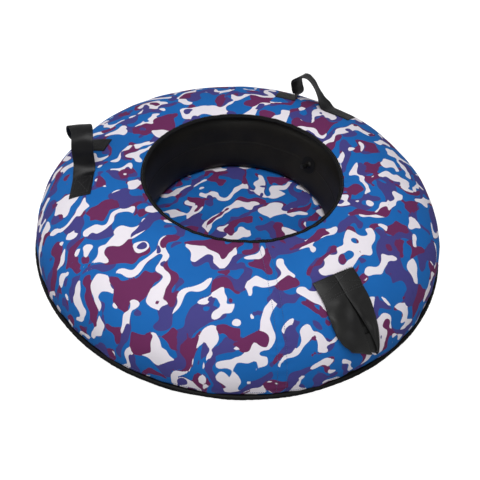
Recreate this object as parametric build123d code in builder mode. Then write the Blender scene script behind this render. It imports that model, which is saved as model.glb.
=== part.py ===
"""Towable tube: an inner tube in a fabric cover, with two handles and a tow strap.

Millimetres. +Z is up, z = 0 is the ground under the bottom cover, the Z axis is the
tube's axis, and the tow strap points along +X.
"""

import os
from math import acos, asin, atan2, cos, degrees, radians, sin, sqrt

from build123d import *

# --- cover section: one half ellipse seen in the plane of the axis -------------------
crown_radius = 300.0        # where the top cover is highest
shoulder_width = 197.0      # from the crown out to the widest point
shoulder_height = 158.0     # from the widest point up to the crown
widest_z = 40.0             # height of the widest point above the ground
rim_inset = 69.0            # from the crown in to the cut edge of the hole
cover_thickness = 1.2
layer_gap = 0.3             # between layers that touch on the real tube

# --- bottom --------------------------------------------------------------------------
ground_ring_inset = 67.0    # from the widest point in to the flat ring on the ground
bottom_curve_width = 75.0   # from there out to the line of the widest point
bottom_thickness = 1.5
floor_thickness = 1.0
floor_rise = 18.0           # the middle is pulled up from the ground by this much
floor_rise_outset = 31.0    # the rise begins this far outside the rim
floor_flat_inset = 5.0      # the raised middle is flat from this far inside the rim

# --- piping round the bottom edge ----------------------------------------------------
piping_stand = 2.5          # the piping's centre outside the widest point
piping_z = 21.5
piping_diameter = 11.0
piping_skin = 1.0
piping_tail_top = 38.0      # the sewn tail stands between the cover's hem and the tube

# --- binding round the hole ----------------------------------------------------------
binding_width = 11.0
binding_thickness = 1.3
binding_play = 0.05

# --- inner tube ----------------------------------------------------------------------
tube_wall = 2.2
patch_thickness = 1.0       # reinforcing patches between the cover and the tube
hole_inset = 10.0           # narrowest place of the tube's inner wall inside the rim
hole_z = 45.0               # height of the narrowest radius
inner_corner_width = 69.0
mould_line_inset = 0.0
mould_line_z = 105.0
top_corner_outset = 14.0
top_corner_z = 165.0
tube_crown_angle = 95.0     # ellipse angle where the inner wall joins the crown

# --- straps --------------------------------------------------------------------------
strap_thickness = 2.4
thread_height = 0.5
thread_width = 1.2
tow_inner_outset = 62.0     # from the crown out to the sewn root's inner end
tow_stitch_outset = 109.0   # the sewn root ends and the loose loop begins
tow_end_z = 100.0           # height of the loop's lower layer where it turns back
tow_width = 104.0
tow_end_width = 84.0
tow_taper_outset = 162.0
tow_eye_height = 13.0       # centre to centre of the two layers at the end
tow_trim_stand = 6.0        # outside the loop's turned end, from the widest point
tow_row_pitch = 4.5
tow_margin = 5.0
handle_outset = 70.0        # from the crown out to the handles' middle
handle_width = 50.0
handle_span = 104.0         # between the outsides of the loop's legs
handle_height = 100.0
handle_end_length = 58.0
handle_end_radius = 25.0    # rounding of the loop's feet, also their swing radius
handle_margin = 5.0
handle_left_angle = 239.0
handle_right_angle = 118.0
seam_angle = -21.0
seam_tape_width = 25.0
seam_row_spacing = 18.0

# --- valve, along its own axis out of the tube's inner wall ---------------------------
valve_angle = 98.0
valve_tilt = 13.0
stem_radius = 3.85
stem_length = 27.0
stem_bore_radius = 1.6
stem_flange_radius = 9.0
stem_flange_thickness = 1.5
stem_clearance = 0.05
pad_radius = 23.0
pad_thickness = 2.5
sleeve_radius = 5.6
sleeve_length = 15.0
core_radius = 2.6
core_length = 8.0
core_floor = 1.0
core_bore_radius = 1.1
spring_room_radius = 1.9
core_seal_thickness = 1.2
core_seal_bore_radius = 1.75
core_start = 16.8           # shoulder in the stem that the core's seal sits on
fit_clearance = 0.05
pin_radius = 0.7
pin_travel = 1.5
pin_head_radius = 1.7
pin_head_thickness = 0.6
pin_head_start = 24.9
pin_end = 26.6
pin_seal_radius = 1.45
pin_seal_thickness = 1.1
pin_foot_radius = 1.3
pin_foot_thickness = 1.0
spring_inner_radius = 1.1
spring_outer_radius = 1.75
cap_radius = 5.2
cap_top_thickness = 1.3
cap_depth = 12.5
cap_seal_thickness = 1.0
cap_seal_radius = 3.6
cap_clearance = 0.06
cap_grips = 16
cap_grip_radius = 0.55

# --- worked out ----------------------------------------------------------------------
cover_radius = crown_radius + shoulder_width
rim_radius = crown_radius - rim_inset
ground_ring_radius = cover_radius - ground_ring_inset
floor_rise_start = rim_radius + floor_rise_outset
floor_flat_radius = rim_radius - floor_flat_inset
piping_radius = cover_radius + piping_stand
hole_radius = rim_radius - hole_inset
mould_line_radius = rim_radius - mould_line_inset
top_corner_radius = rim_radius + top_corner_outset
tow_inner_radius = crown_radius + tow_inner_outset
tow_stitch_radius = crown_radius + tow_stitch_outset
tow_taper_radius = crown_radius + tow_taper_outset
tow_trim_radius = cover_radius + tow_trim_stand
handle_radius = crown_radius + handle_outset
thread_gap = 0.1            # between a thread and the layer it is sewn to
seam_outer_radius = crown_radius + 0.96 * shoulder_width
seam_inner_radius = rim_radius + 22
hem_row_height = 6.0
piping_tail_radius = cover_radius - cover_thickness - layer_gap
tube_gap = 2 * layer_gap + patch_thickness
cover_inside = -cover_thickness
patch_lift = cover_inside - layer_gap - patch_thickness
tube_lift = cover_inside - tube_gap
tube_bottom_z = bottom_thickness + floor_thickness + 2 * layer_gap + 0.3
floor_bottom_z = bottom_thickness + layer_gap
floor_edge_radius = piping_radius - piping_diameter / 2 - layer_gap
os.makedirs("parts", exist_ok=True)


def cover_angle(radius, lift):
    """Angle on the cover's ellipse, grown by lift, where it passes a radius."""
    return degrees(acos((radius - crown_radius) / (shoulder_width + lift)))


def cover_height(radius):
    """Height of the cover's outer face above the ground at a radius."""
    share = (radius - crown_radius) / shoulder_width
    return widest_z + shoulder_height * sqrt(1 - share**2)


def cover_arc(lift, outer_angle, inner_angle):
    """Arc of the cover's ellipse, grown by lift, between two ellipse angles."""
    return EllipticalCenterArc(
        (crown_radius, widest_z),
        shoulder_width + lift,
        shoulder_height + lift,
        outer_angle,
        arc_size=inner_angle - outer_angle,
    )


def cover_band(lift, thickness, outer_radius, inner_radius, mode=Mode.ADD):
    """Face of a layer that follows the cover between two radii."""
    top = lift + thickness
    with BuildLine() as outline:
        lower = cover_arc(lift, cover_angle(outer_radius, lift), cover_angle(inner_radius, lift))
        upper = cover_arc(top, cover_angle(outer_radius, top), cover_angle(inner_radius, top))
        Line(lower @ 0, upper @ 0)
        Line(lower @ 1, upper @ 1)
    make_face(outline.edges(), mode=mode)


def meridian(angle):
    """Half plane at an angle round the axis, local x outwards and y up."""
    turn = radians(angle)
    return Plane((0, 0, 0), x_dir=(cos(turn), sin(turn), 0), z_dir=(sin(turn), -cos(turn), 0))


def cover_plane(angle, radius):
    """Plane on the cover's outer face: x round the tube, z out of the face."""
    share = (radius - crown_radius) / shoulder_width
    slope = shoulder_height / shoulder_width * share / sqrt(1 - share**2)
    lean = atan2(slope, 1)
    turn = radians(angle)
    origin = (radius * cos(turn), radius * sin(turn), cover_height(radius))
    out = (sin(lean) * cos(turn), sin(lean) * sin(turn), cos(lean))
    return Plane(origin=origin, x_dir=(-sin(turn), cos(turn), 0), z_dir=out)


def save(builder, name):
    """Label a finished piece and write it."""
    builder.part.label = name
    export_step(builder.part, f"parts/{name}.step")


# --- top cover -----------------------------------------------------------------------
hem_z = piping_z + piping_diameter / 2 + layer_gap

with BuildPart() as top_cover:
    with BuildSketch(Plane.XZ):
        with BuildLine():
            face_out = cover_arc(0, 0, cover_angle(rim_radius, 0))
            face_in = cover_arc(cover_inside, 0, cover_angle(rim_radius, 0))
            Line(face_out @ 1, face_in @ 1)
            Polyline(
                face_out @ 0,
                (cover_radius, hem_z),
                (cover_radius - cover_thickness, hem_z),
                face_in @ 0,
            )
        make_face()
    revolve(axis=Axis.Z)
save(top_cover, "top_cover")

# --- radial closing seam: two rows of stitches over a tape ----------------------------
with BuildPart() as seam_tape:
    with BuildSketch(meridian(seam_angle)):
        cover_band(patch_lift, patch_thickness, seam_outer_radius, seam_inner_radius)
    extrude(amount=seam_tape_width / 2, both=True)
save(seam_tape, "seam_tape")

with BuildPart() as seam_stitching:
    for row in (-1, 1):
        with BuildSketch(meridian(seam_angle).offset(row * seam_row_spacing / 2)):
            cover_band(thread_gap, thread_height, seam_outer_radius, seam_inner_radius)
        extrude(amount=thread_width / 2, both=True)
save(seam_stitching, "seam_stitching")

# --- binding folded round the hole's edge ---------------------------------------------
binding_lift = binding_play + binding_thickness

with BuildPart() as rim_binding:
    with BuildSketch(Plane.XZ):
        cover_band(
            cover_inside - binding_lift,
            cover_thickness + 2 * binding_lift,
            rim_radius + binding_width,
            rim_radius - binding_lift,
        )
        cover_band(
            cover_inside - binding_play,
            cover_thickness + 2 * binding_play,
            rim_radius + 2 * binding_width,
            rim_radius - binding_play,
            mode=Mode.SUBTRACT,
        )
    revolve(axis=Axis.Z)
save(rim_binding, "rim_binding")

with BuildPart() as rim_stitching:
    with BuildSketch(Plane.XZ):
        rim_row = rim_radius + binding_width - 3
        cover_band(binding_lift + thread_gap, thread_height, rim_row + thread_width, rim_row)
    revolve(axis=Axis.Z)
save(rim_stitching, "rim_stitching")


# --- bottom cover and seat floor: two layers of one shape ------------------------------
def bottom_line(lift, edge_radius):
    """Line of a bottom layer's face, from the axis out to an edge radius."""
    width = bottom_curve_width - lift
    height = widest_z - lift
    edge_angle = degrees(acos((edge_radius - ground_ring_radius) / width))
    middle = Line((0, floor_rise + lift), (floor_flat_radius, floor_rise + lift))
    slope = Spline(
        middle @ 1,
        (floor_rise_start, lift),
        tangents=[(1, 0), (1, 0)],
    )
    ring = Line(slope @ 1, (ground_ring_radius, lift))
    EllipticalCenterArc(
        (ground_ring_radius, widest_z),
        width,
        height,
        270,
        arc_size=90 - edge_angle,
    )
    return ring


def bottom_layer(lift, thickness, edge_radius):
    """Face of a bottom layer, closed along the axis and at its edge."""
    with BuildLine() as outline:
        bottom_line(lift, edge_radius)
        bottom_line(lift + thickness, edge_radius)
        ends = outline.vertices().sort_by(Axis.X)[-2:]
        Line(ends[0], ends[1])
        Line((0, floor_rise + lift), (0, floor_rise + lift + thickness))
    make_face(outline.edges())


with BuildPart() as bottom_cover:
    with BuildSketch(Plane.XZ):
        bottom_layer(0, bottom_thickness, floor_edge_radius)
    revolve(axis=Axis.Z)
save(bottom_cover, "bottom_cover")

with BuildPart() as seat_floor:
    with BuildSketch(Plane.XZ):
        bottom_layer(floor_bottom_z, floor_thickness, floor_edge_radius)
    revolve(axis=Axis.Z)
save(seat_floor, "seat_floor")

# --- piping: a cord in a vinyl skin with a sewn tail -----------------------------------
with BuildPart() as piping_cover:
    with BuildSketch(Plane.XZ):
        with Locations((piping_radius, piping_z)):
            Circle(piping_diameter / 2)
        with Locations((piping_tail_radius, piping_z)):
            Rectangle(
                piping_skin,
                piping_tail_top - piping_z,
                align=(Align.MAX, Align.MIN),
            )
        with Locations((piping_radius, piping_z)):
            Circle(piping_diameter / 2 - piping_skin, mode=Mode.SUBTRACT)
    revolve(axis=Axis.Z)
save(piping_cover, "piping_cover")

with BuildPart() as piping_cord:
    with BuildSketch(Plane.XZ):
        with Locations((piping_radius, piping_z)):
            Circle(piping_diameter / 2 - piping_skin - layer_gap)
    revolve(axis=Axis.Z)
save(piping_cord, "piping_cord")

with BuildPart() as hem_stitching:
    with BuildSketch(Plane.XZ):
        with Locations((cover_radius + thread_gap + thread_height / 2, hem_z + hem_row_height)):
            Rectangle(thread_height, thread_width)
    revolve(axis=Axis.Z)
save(hem_stitching, "hem_stitching")


# --- valve axis: from the tube's inner wall towards the axis of the tube ---------------
def valve_plane(distance):
    """Plane across the valve at a distance out of the tube's inner wall."""
    turn = radians(valve_angle)
    lean = radians(valve_tilt)
    out = Vector(-cos(turn) * cos(lean), -sin(turn) * cos(lean), sin(lean))
    root = Vector(mould_line_radius * cos(turn), mould_line_radius * sin(turn), mould_line_z)
    return Plane(root + out * distance, x_dir=(-sin(turn), cos(turn), 0), z_dir=out)


def valve_ring(start, length, outer_radius, inner_radius=0, mode=Mode.ADD):
    """Cylinder or tube on the valve's axis."""
    with BuildSketch(valve_plane(start)) as disc:
        Circle(outer_radius)
        if inner_radius:
            Circle(inner_radius, mode=Mode.SUBTRACT)
    extrude(disc.sketch, amount=length, mode=mode)


def tube_outline(inset, mode=Mode.ADD):
    """Face of the inner tube's section, its outline moved in by an inset."""
    half_width = shoulder_width + tube_lift - inset
    half_height = shoulder_height + tube_lift - inset
    crown_turn = radians(tube_crown_angle)
    crown_tangent = (half_width * sin(crown_turn), -half_height * cos(crown_turn))
    with BuildLine() as outline:
        crown = cover_arc(tube_lift - inset, 0, tube_crown_angle)
        Spline(
            (hole_radius + inset, hole_z),
            (mould_line_radius + inset, mould_line_z),
            (top_corner_radius + inset, top_corner_z - inset / 2),
            crown @ 1,
            tangents=[(0, 1), crown_tangent],
        )
        inner_corner = EllipticalCenterArc(
            (hole_radius + inner_corner_width, hole_z),
            inner_corner_width - inset,
            hole_z - tube_bottom_z - inset,
            180,
            arc_size=90,
        )
        outer_corner = EllipticalCenterArc(
            (ground_ring_radius, widest_z),
            crown_radius + half_width - ground_ring_radius,
            widest_z - tube_bottom_z - inset,
            270,
            arc_size=90,
        )
        Line(inner_corner @ 1, outer_corner @ 0)
    make_face(outline.edges(), mode=mode)


with BuildPart() as inner_tube:
    with BuildSketch(Plane.XZ):
        tube_outline(0)
        tube_outline(tube_wall, mode=Mode.SUBTRACT)
    revolve(axis=Axis.Z)
    valve_ring(-3 * tube_wall, 6 * tube_wall, stem_radius + stem_clearance, mode=Mode.SUBTRACT)
save(inner_tube, "inner_tube")

# --- valve: rubber base, brass stem, core, pin and cap ---------------------------------
with BuildPart() as valve_base:
    valve_ring(-pad_thickness, 2 * pad_thickness, pad_radius)
    with BuildSketch(Plane.XZ) as tube_section:
        tube_outline(0)
    revolve(tube_section.sketch, axis=Axis.Z, mode=Mode.SUBTRACT)
    with BuildSketch(valve_plane(pad_thickness)) as skirt_foot:
        Circle(1.7 * sleeve_radius)
    with BuildSketch(valve_plane(2.6 * pad_thickness)) as skirt_top:
        Circle(sleeve_radius)
    loft([skirt_foot.sketch.face(), skirt_top.sketch.face()])
    valve_ring(pad_thickness, sleeve_length - pad_thickness, sleeve_radius)
    valve_ring(
        -2 * pad_thickness,
        sleeve_length + 4 * pad_thickness,
        stem_radius + stem_clearance,
        mode=Mode.SUBTRACT,
    )
save(valve_base, "valve_base")

stem_foot = -tube_wall - layer_gap - stem_flange_thickness

with BuildPart() as valve_stem:
    valve_ring(stem_foot, stem_length - stem_foot, stem_radius)
    valve_ring(stem_foot, stem_flange_thickness, stem_flange_radius)
    valve_ring(stem_foot, stem_length - stem_foot, stem_bore_radius, mode=Mode.SUBTRACT)
    valve_ring(
        core_start,
        stem_length - core_start,
        core_radius + fit_clearance,
        mode=Mode.SUBTRACT,
    )
save(valve_stem, "valve_stem")

core_foot = core_start + core_seal_thickness

with BuildPart() as valve_core:
    valve_ring(core_foot, core_length, core_radius, spring_room_radius)
    valve_ring(core_foot, core_floor, core_radius, core_bore_radius)
save(valve_core, "valve_core")

with BuildPart() as valve_core_seal:
    valve_ring(core_start, core_seal_thickness, core_radius, core_seal_bore_radius)
save(valve_core_seal, "valve_core_seal")

pin_seal_start = core_foot - fit_clearance - pin_seal_thickness
pin_foot_start = pin_seal_start - pin_foot_thickness

with BuildPart() as valve_pin:
    valve_ring(pin_foot_start, pin_end - pin_foot_start, pin_radius)
    valve_ring(pin_foot_start, pin_foot_thickness, pin_foot_radius)
    valve_ring(pin_head_start, pin_head_thickness, pin_head_radius)
save(valve_pin, "valve_pin")

with BuildPart() as valve_pin_seal:
    valve_ring(pin_seal_start, pin_seal_thickness, pin_seal_radius, pin_radius)
save(valve_pin_seal, "valve_pin_seal")

# The spring is drawn as a sleeve at the length it has with the pin pressed.
spring_start = core_foot + core_floor
spring_end = pin_head_start - pin_travel - fit_clearance

with BuildPart() as valve_spring:
    valve_ring(
        spring_start,
        spring_end - spring_start,
        spring_outer_radius,
        spring_inner_radius,
    )
save(valve_spring, "valve_spring")

cap_seal_start = stem_length + fit_clearance
cap_mouth = cap_seal_start + cap_seal_thickness - cap_depth

with BuildPart() as valve_cap:
    valve_ring(cap_mouth, cap_depth + cap_top_thickness, cap_radius)
    with BuildSketch(valve_plane(cap_mouth)) as grips:
        with PolarLocations(cap_radius, cap_grips):
            Circle(cap_grip_radius)
    extrude(grips.sketch, amount=cap_depth, mode=Mode.SUBTRACT)
    valve_ring(cap_mouth, cap_depth, stem_radius + cap_clearance, mode=Mode.SUBTRACT)
save(valve_cap, "valve_cap")

with BuildPart() as valve_cap_seal:
    valve_ring(cap_seal_start, cap_seal_thickness, cap_seal_radius)
save(valve_cap_seal, "valve_cap_seal")


# --- handles: two sewn ends, a loose loop, stitching and inside patches ----------------
def cover_patch(lift, thickness, outer_radius, inner_radius, start, sweep, mode=Mode.ADD):
    """Piece of a layer that follows the cover between two radii and two angles."""
    with BuildSketch(meridian(start)) as section:
        cover_band(lift, thickness, outer_radius, inner_radius)
    revolve(section.sketch, axis=Axis.Z, revolution_arc=sweep, mode=mode)


loop_half_span = handle_span / 2
end_near = degrees((loop_half_span + layer_gap) / handle_radius)
end_sweep = degrees(handle_end_length / handle_radius)
end_room = 2 * (loop_half_span + layer_gap)
end_margin = degrees(handle_margin / handle_radius)
thread_sweep = degrees(thread_width / handle_radius)
band_outer = handle_radius + handle_width / 2
band_inner = handle_radius - handle_width / 2
row_outer = band_outer - handle_margin
row_inner = band_inner + handle_margin
thread_lift = layer_gap + strap_thickness + thread_gap

for side, angle in (("left", handle_left_angle), ("right", handle_right_angle)):
    starts = (angle + end_near, angle - end_near - end_sweep)
    seat = cover_plane(angle, handle_radius)
    whole_sweep = 2 * (end_near + end_sweep)

    with BuildPart() as handle_ends:
        cover_patch(
            layer_gap,
            strap_thickness,
            band_outer,
            band_inner,
            starts[1],
            whole_sweep,
        )
        with Locations(seat):
            Box(end_room, 2 * handle_width, handle_width, mode=Mode.SUBTRACT)
    save(handle_ends, f"handle_{side}_ends")

    with BuildPart() as handle_stitching:
        for start in starts:
            row = start + end_margin
            row_sweep = end_sweep - 2 * end_margin
            cover_patch(thread_lift, thread_height, row_outer, row_inner, row, row_sweep)
            cover_patch(
                thread_lift - thread_gap,
                thread_height + 2 * thread_gap,
                row_outer - thread_width,
                row_inner + thread_width,
                row + thread_sweep,
                row_sweep - 2 * thread_sweep,
                mode=Mode.SUBTRACT,
            )
    save(handle_stitching, f"handle_{side}_stitching")

    with BuildPart() as handle_backing:
        for start in starts:
            cover_patch(
                patch_lift,
                patch_thickness,
                band_outer + handle_margin,
                band_inner - handle_margin,
                start - end_margin,
                end_sweep + 2 * end_margin,
            )
    save(handle_backing, f"handle_{side}_backing")

    arch_plane = Plane(seat.origin, x_dir=seat.x_dir, z_dir=-seat.y_dir)
    side_plane = Plane(seat.origin, x_dir=seat.y_dir, z_dir=seat.x_dir)
    foot_height = handle_end_radius + layer_gap + thread_gap

    with BuildPart() as handle_loop:
        with BuildSketch(arch_plane) as arch:
            Ellipse(loop_half_span, handle_height)
            Ellipse(
                loop_half_span - strap_thickness,
                handle_height - strap_thickness,
                mode=Mode.SUBTRACT,
            )
            Rectangle(
                2 * handle_span,
                2 * handle_height,
                align=(Align.CENTER, Align.MAX),
                mode=Mode.SUBTRACT,
            )
        extrude(arch.sketch, amount=handle_width / 2, both=True)
        with BuildSketch(side_plane) as outline:
            with Locations((0, foot_height)):
                Circle(handle_end_radius)
                Rectangle(
                    handle_width,
                    2 * handle_height,
                    align=(Align.CENTER, Align.MIN),
                )
        extrude(outline.sketch, amount=handle_span, both=True, mode=Mode.INTERSECT)
    save(handle_loop, f"handle_{side}_loop")

# --- tow strap: sewn root, loose loop, stitching and inside patch ----------------------
half_width = tow_width / 2
root_sweep = degrees(tow_width / tow_inner_radius)
root_thickness = 2 * strap_thickness


def tow_slab(near, far, width, mode=Mode.INTERSECT):
    """Upright slab over the strap between two radii, to trim its sides straight."""
    with BuildSketch() as plan:
        with Locations((near, 0)):
            Rectangle(far - near, width, align=(Align.MIN, Align.CENTER))
    extrude(plan.sketch, amount=2 * crown_radius, mode=mode)


with BuildPart() as tow_strap_base:
    cover_patch(
        layer_gap,
        root_thickness,
        tow_stitch_radius,
        tow_inner_radius,
        -root_sweep,
        2 * root_sweep,
    )
    tow_slab(0, tow_stitch_radius, tow_width)
save(tow_strap_base, "tow_strap_base")

tow_thread_lift = layer_gap + root_thickness + thread_gap

with BuildPart() as tow_strap_stitching:
    for row in (0, 1):
        row_radius = tow_stitch_radius - tow_margin - row * tow_row_pitch
        cover_patch(
            tow_thread_lift,
            thread_height,
            row_radius,
            row_radius - thread_width,
            -root_sweep,
            2 * root_sweep,
        )
    inner_row = tow_inner_radius + tow_margin
    cover_patch(
        tow_thread_lift,
        thread_height,
        inner_row + thread_width,
        inner_row,
        -root_sweep,
        2 * root_sweep,
    )
    tow_slab(0, tow_stitch_radius, tow_width - 2 * tow_margin)
save(tow_strap_stitching, "tow_strap_stitching")

with BuildPart() as tow_strap_backing:
    cover_patch(
        patch_lift,
        patch_thickness,
        tow_stitch_radius + tow_margin,
        tow_inner_radius - tow_margin,
        -root_sweep / 1.6,
        root_sweep / 0.8,
    )
save(tow_strap_backing, "tow_strap_backing")

lower_lift = layer_gap + 0.2 + strap_thickness / 2
upper_lift = lower_lift + strap_thickness + layer_gap + 0.1
end_angle = degrees(asin((tow_end_z - widest_z) / shoulder_height))

with BuildPart() as tow_strap_loop:
    with BuildSketch(meridian(0)) as section:
        with BuildLine() as path:
            root_angle = cover_angle(tow_stitch_radius - strap_thickness, lower_lift)
            lower = cover_arc(lower_lift, end_angle, root_angle)
            down = (lower % 0) * -1
            out = Vector(-down.Y, down.X)
            turn_centre = (lower @ 0) + out * (tow_eye_height / 2)
            tip = turn_centre + down * (tow_eye_height / 2)
            end_turn = ThreePointArc(lower @ 0, tip, (lower @ 0) + out * tow_eye_height)
            close_angle = (root_angle + end_angle) / 2
            flat = cover_arc(upper_lift, close_angle, root_angle)
            Spline(end_turn @ 1, flat @ 0, tangents=[down * -1, flat % 0])
        trace(line_width=strap_thickness)
    extrude(section.sketch, amount=half_width, both=True)
    with BuildSketch() as plan:
        with BuildLine():
            Polyline(
                (tow_stitch_radius + layer_gap, half_width),
                (tow_taper_radius, half_width - 3),
                (tow_trim_radius, tow_end_width / 2),
                (tow_trim_radius, -tow_end_width / 2),
                (tow_taper_radius, 3 - half_width),
                (tow_stitch_radius + layer_gap, -half_width),
                close=True,
            )
        make_face()
    extrude(plan.sketch, amount=2 * crown_radius, mode=Mode.INTERSECT)
save(tow_strap_loop, "tow_strap_loop")
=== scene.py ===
"""Looks of a towable tube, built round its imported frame.

Everything is in metres in the frame's own axes: +Z is up, the tube's axis is the Z
axis, z = 0 is the ground, and the tow strap points towards +X.
"""

import logging
import math
from collections.abc import Sequence
from dataclasses import dataclass, field
from enum import Enum

import bpy
import numpy as np
from mathutils import Matrix, Vector


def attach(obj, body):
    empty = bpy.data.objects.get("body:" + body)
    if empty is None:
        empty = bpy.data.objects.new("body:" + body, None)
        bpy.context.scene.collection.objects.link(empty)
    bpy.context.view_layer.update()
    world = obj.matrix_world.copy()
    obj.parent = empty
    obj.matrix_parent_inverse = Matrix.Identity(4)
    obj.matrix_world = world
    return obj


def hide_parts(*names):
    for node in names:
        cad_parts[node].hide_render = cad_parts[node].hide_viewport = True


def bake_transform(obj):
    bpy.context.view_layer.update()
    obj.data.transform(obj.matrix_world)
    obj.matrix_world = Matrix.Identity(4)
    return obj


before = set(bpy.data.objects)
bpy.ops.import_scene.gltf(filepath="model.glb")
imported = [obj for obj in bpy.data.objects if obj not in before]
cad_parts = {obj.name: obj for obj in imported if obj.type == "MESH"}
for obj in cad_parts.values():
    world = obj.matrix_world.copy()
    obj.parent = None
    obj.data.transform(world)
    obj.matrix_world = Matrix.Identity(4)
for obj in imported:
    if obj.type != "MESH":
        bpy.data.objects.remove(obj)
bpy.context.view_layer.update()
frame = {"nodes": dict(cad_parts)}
LOG = logging.getLogger("towable_tube")
Array = np.ndarray
Colour = tuple[float, float, float]
TURN = 2 * math.pi
DISC_SHARE = 0.785  # area of a disc over that of its square
PATTERN_RADIUS = 0.23  # radius at which waves round the hole have their length
SUBSTEPS = 12  # fine samples of a curve for each one that is kept


class Body(Enum):
    """Bodies of the frame that pieces ride on."""

    TUBE = "tube"
    HANDLE_LEFT = "handle_left"
    HANDLE_RIGHT = "handle_right"
    TOW_LOOP = "tow_loop"


# --------------------------------------------------------------------------- numbers


def swell(places: Array, size: float, seed: int, waves: int = 12) -> Array:
    """Smooth random height: a sum of sine waves of near one length in random directions.

    Args:
        places: points, with one, two or three numbers each on the last axis.
        size: middle wave length, in the units of the points.
        seed: picks the directions and phases.
        waves: number of waves that are added.

    Returns:
        Heights with a mean near 0 and a spread near 1.
    """
    rng = np.random.default_rng(seed)
    headings = rng.normal(size=(waves, places.shape[-1]))
    headings /= np.linalg.norm(headings, axis=1, keepdims=True)
    lengths = size * rng.uniform(0.72, 1.45, waves)
    phases = rng.uniform(0, TURN, waves)
    total = np.zeros(places.shape[:-1])
    for heading, length, phase in zip(headings, lengths, phases, strict=True):
        total += np.sin(places @ heading * (TURN / length) + phase)
    return total / math.sqrt(waves / 2)


def bell(offset: Array, width: float) -> Array:
    """Gauss bell of height 1 over an offset from its middle."""
    return np.exp(-((offset / width) ** 2))


def ramp(value: Array, low: float, high: float) -> Array:
    """Smooth step from 0 at low to 1 at high, which may be the lower number."""
    share = np.clip((value - low) / (high - low), 0, 1)
    return share * share * (3 - 2 * share)


def unit(vectors: Array) -> Array:
    """Vectors scaled to length 1."""
    return vectors / np.maximum(np.linalg.norm(vectors, axis=-1, keepdims=True), 1e-12)


def run_length(points: Array) -> Array:
    """Length along a line of points, from its first to each point."""
    steps = np.linalg.norm(np.diff(points, axis=0), axis=1)
    return np.concatenate([[0.0], np.cumsum(steps)])


def around(count: int) -> Array:
    """Angles of a closed ring of points."""
    return np.arange(count) * TURN / count


def turned(
    radius: Array | float, angle: Array, height: Array | float | None = None
) -> Array:
    """Places at a radius and an angle round the axis, and at a height if one is given."""
    numbers = [radius * np.cos(angle), radius * np.sin(angle)]
    if height is not None:
        numbers.append(height)
    return np.stack(np.broadcast_arrays(*numbers), axis=-1)


def woven(section: Array, angle: Array, radius: float) -> Array:
    """Flat places of a section swept round the axis: round it, then along the section."""
    whole = np.append(angle, TURN)
    return np.stack(np.meshgrid(whole * radius, run_length(section)), axis=-1)


def resampled(at: Array, along: Array, rows: Array) -> Array:
    """Rows known at increasing numbers along, read off at other numbers."""
    return np.stack([np.interp(at, along, column) for column in rows.T], axis=1)


def straight(first: Array, second: Array, count: int) -> Array:
    """Points evenly along the line from a first to a second one."""
    share = np.linspace(0, 1, count)[:, None]
    return first * (1 - share) + second * share


def smooth_path(stations: Array, count: int, space: int = 3) -> Array:
    """Curve through stations, sampled evenly by length.

    Between two stations it is a cubic whose slopes at both are the weighted mean of
    the slopes of the chords that meet there.

    Args:
        stations: one row a station; the first columns are its place.
        count: number of samples.
        space: number of leading columns that are a place.

    Returns:
        One row a sample, with all the stations' columns carried along.
    """
    knots = run_length(stations[:, :space])
    chords = np.diff(stations, axis=0) / np.diff(knots)[:, None]
    before, after = np.diff(knots)[:-1, None], np.diff(knots)[1:, None]
    middle = (chords[:-1] * after + chords[1:] * before) / (before + after)
    slopes = np.vstack([chords[:1], middle, chords[-1:]])
    fine = np.linspace(0, knots[-1], count * SUBSTEPS)
    left = np.clip(np.searchsorted(knots, fine, side="right") - 1, 0, len(knots) - 2)
    gap = (knots[left + 1] - knots[left])[:, None]
    share = (fine - knots[left])[:, None] / gap
    square, cube = share**2, share**3
    curve = (
        stations[left] * (2 * cube - 3 * square + 1)
        + slopes[left] * gap * (cube - 2 * square + share)
        + stations[left + 1] * (3 * square - 2 * cube)
        + slopes[left + 1] * gap * (cube - square)
    )
    along = run_length(curve[:, :space])
    return resampled(np.linspace(0, along[-1], count), along, curve)


# ---------------------------------------------------------------------------- meshes


def new_piece(
    name: str, points: Array, faces: list[list[int]], smooth: bool = True
) -> bpy.types.Object:
    """Makes a mesh and links its object, at the origin, to the scene.

    Args:
        name: the piece's name.
        points: its points, one a row.
        faces: point numbers of each face.
        smooth: shaded smooth.

    Returns:
        The new object.
    """
    mesh = bpy.data.meshes.new(name)
    mesh.from_pydata(points.tolist(), [], faces)
    mesh.polygons.foreach_set("use_smooth", np.full(len(mesh.polygons), smooth))
    mesh.update()
    piece = bpy.data.objects.new(name, mesh)
    bpy.context.scene.collection.objects.link(piece)
    return piece


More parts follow.
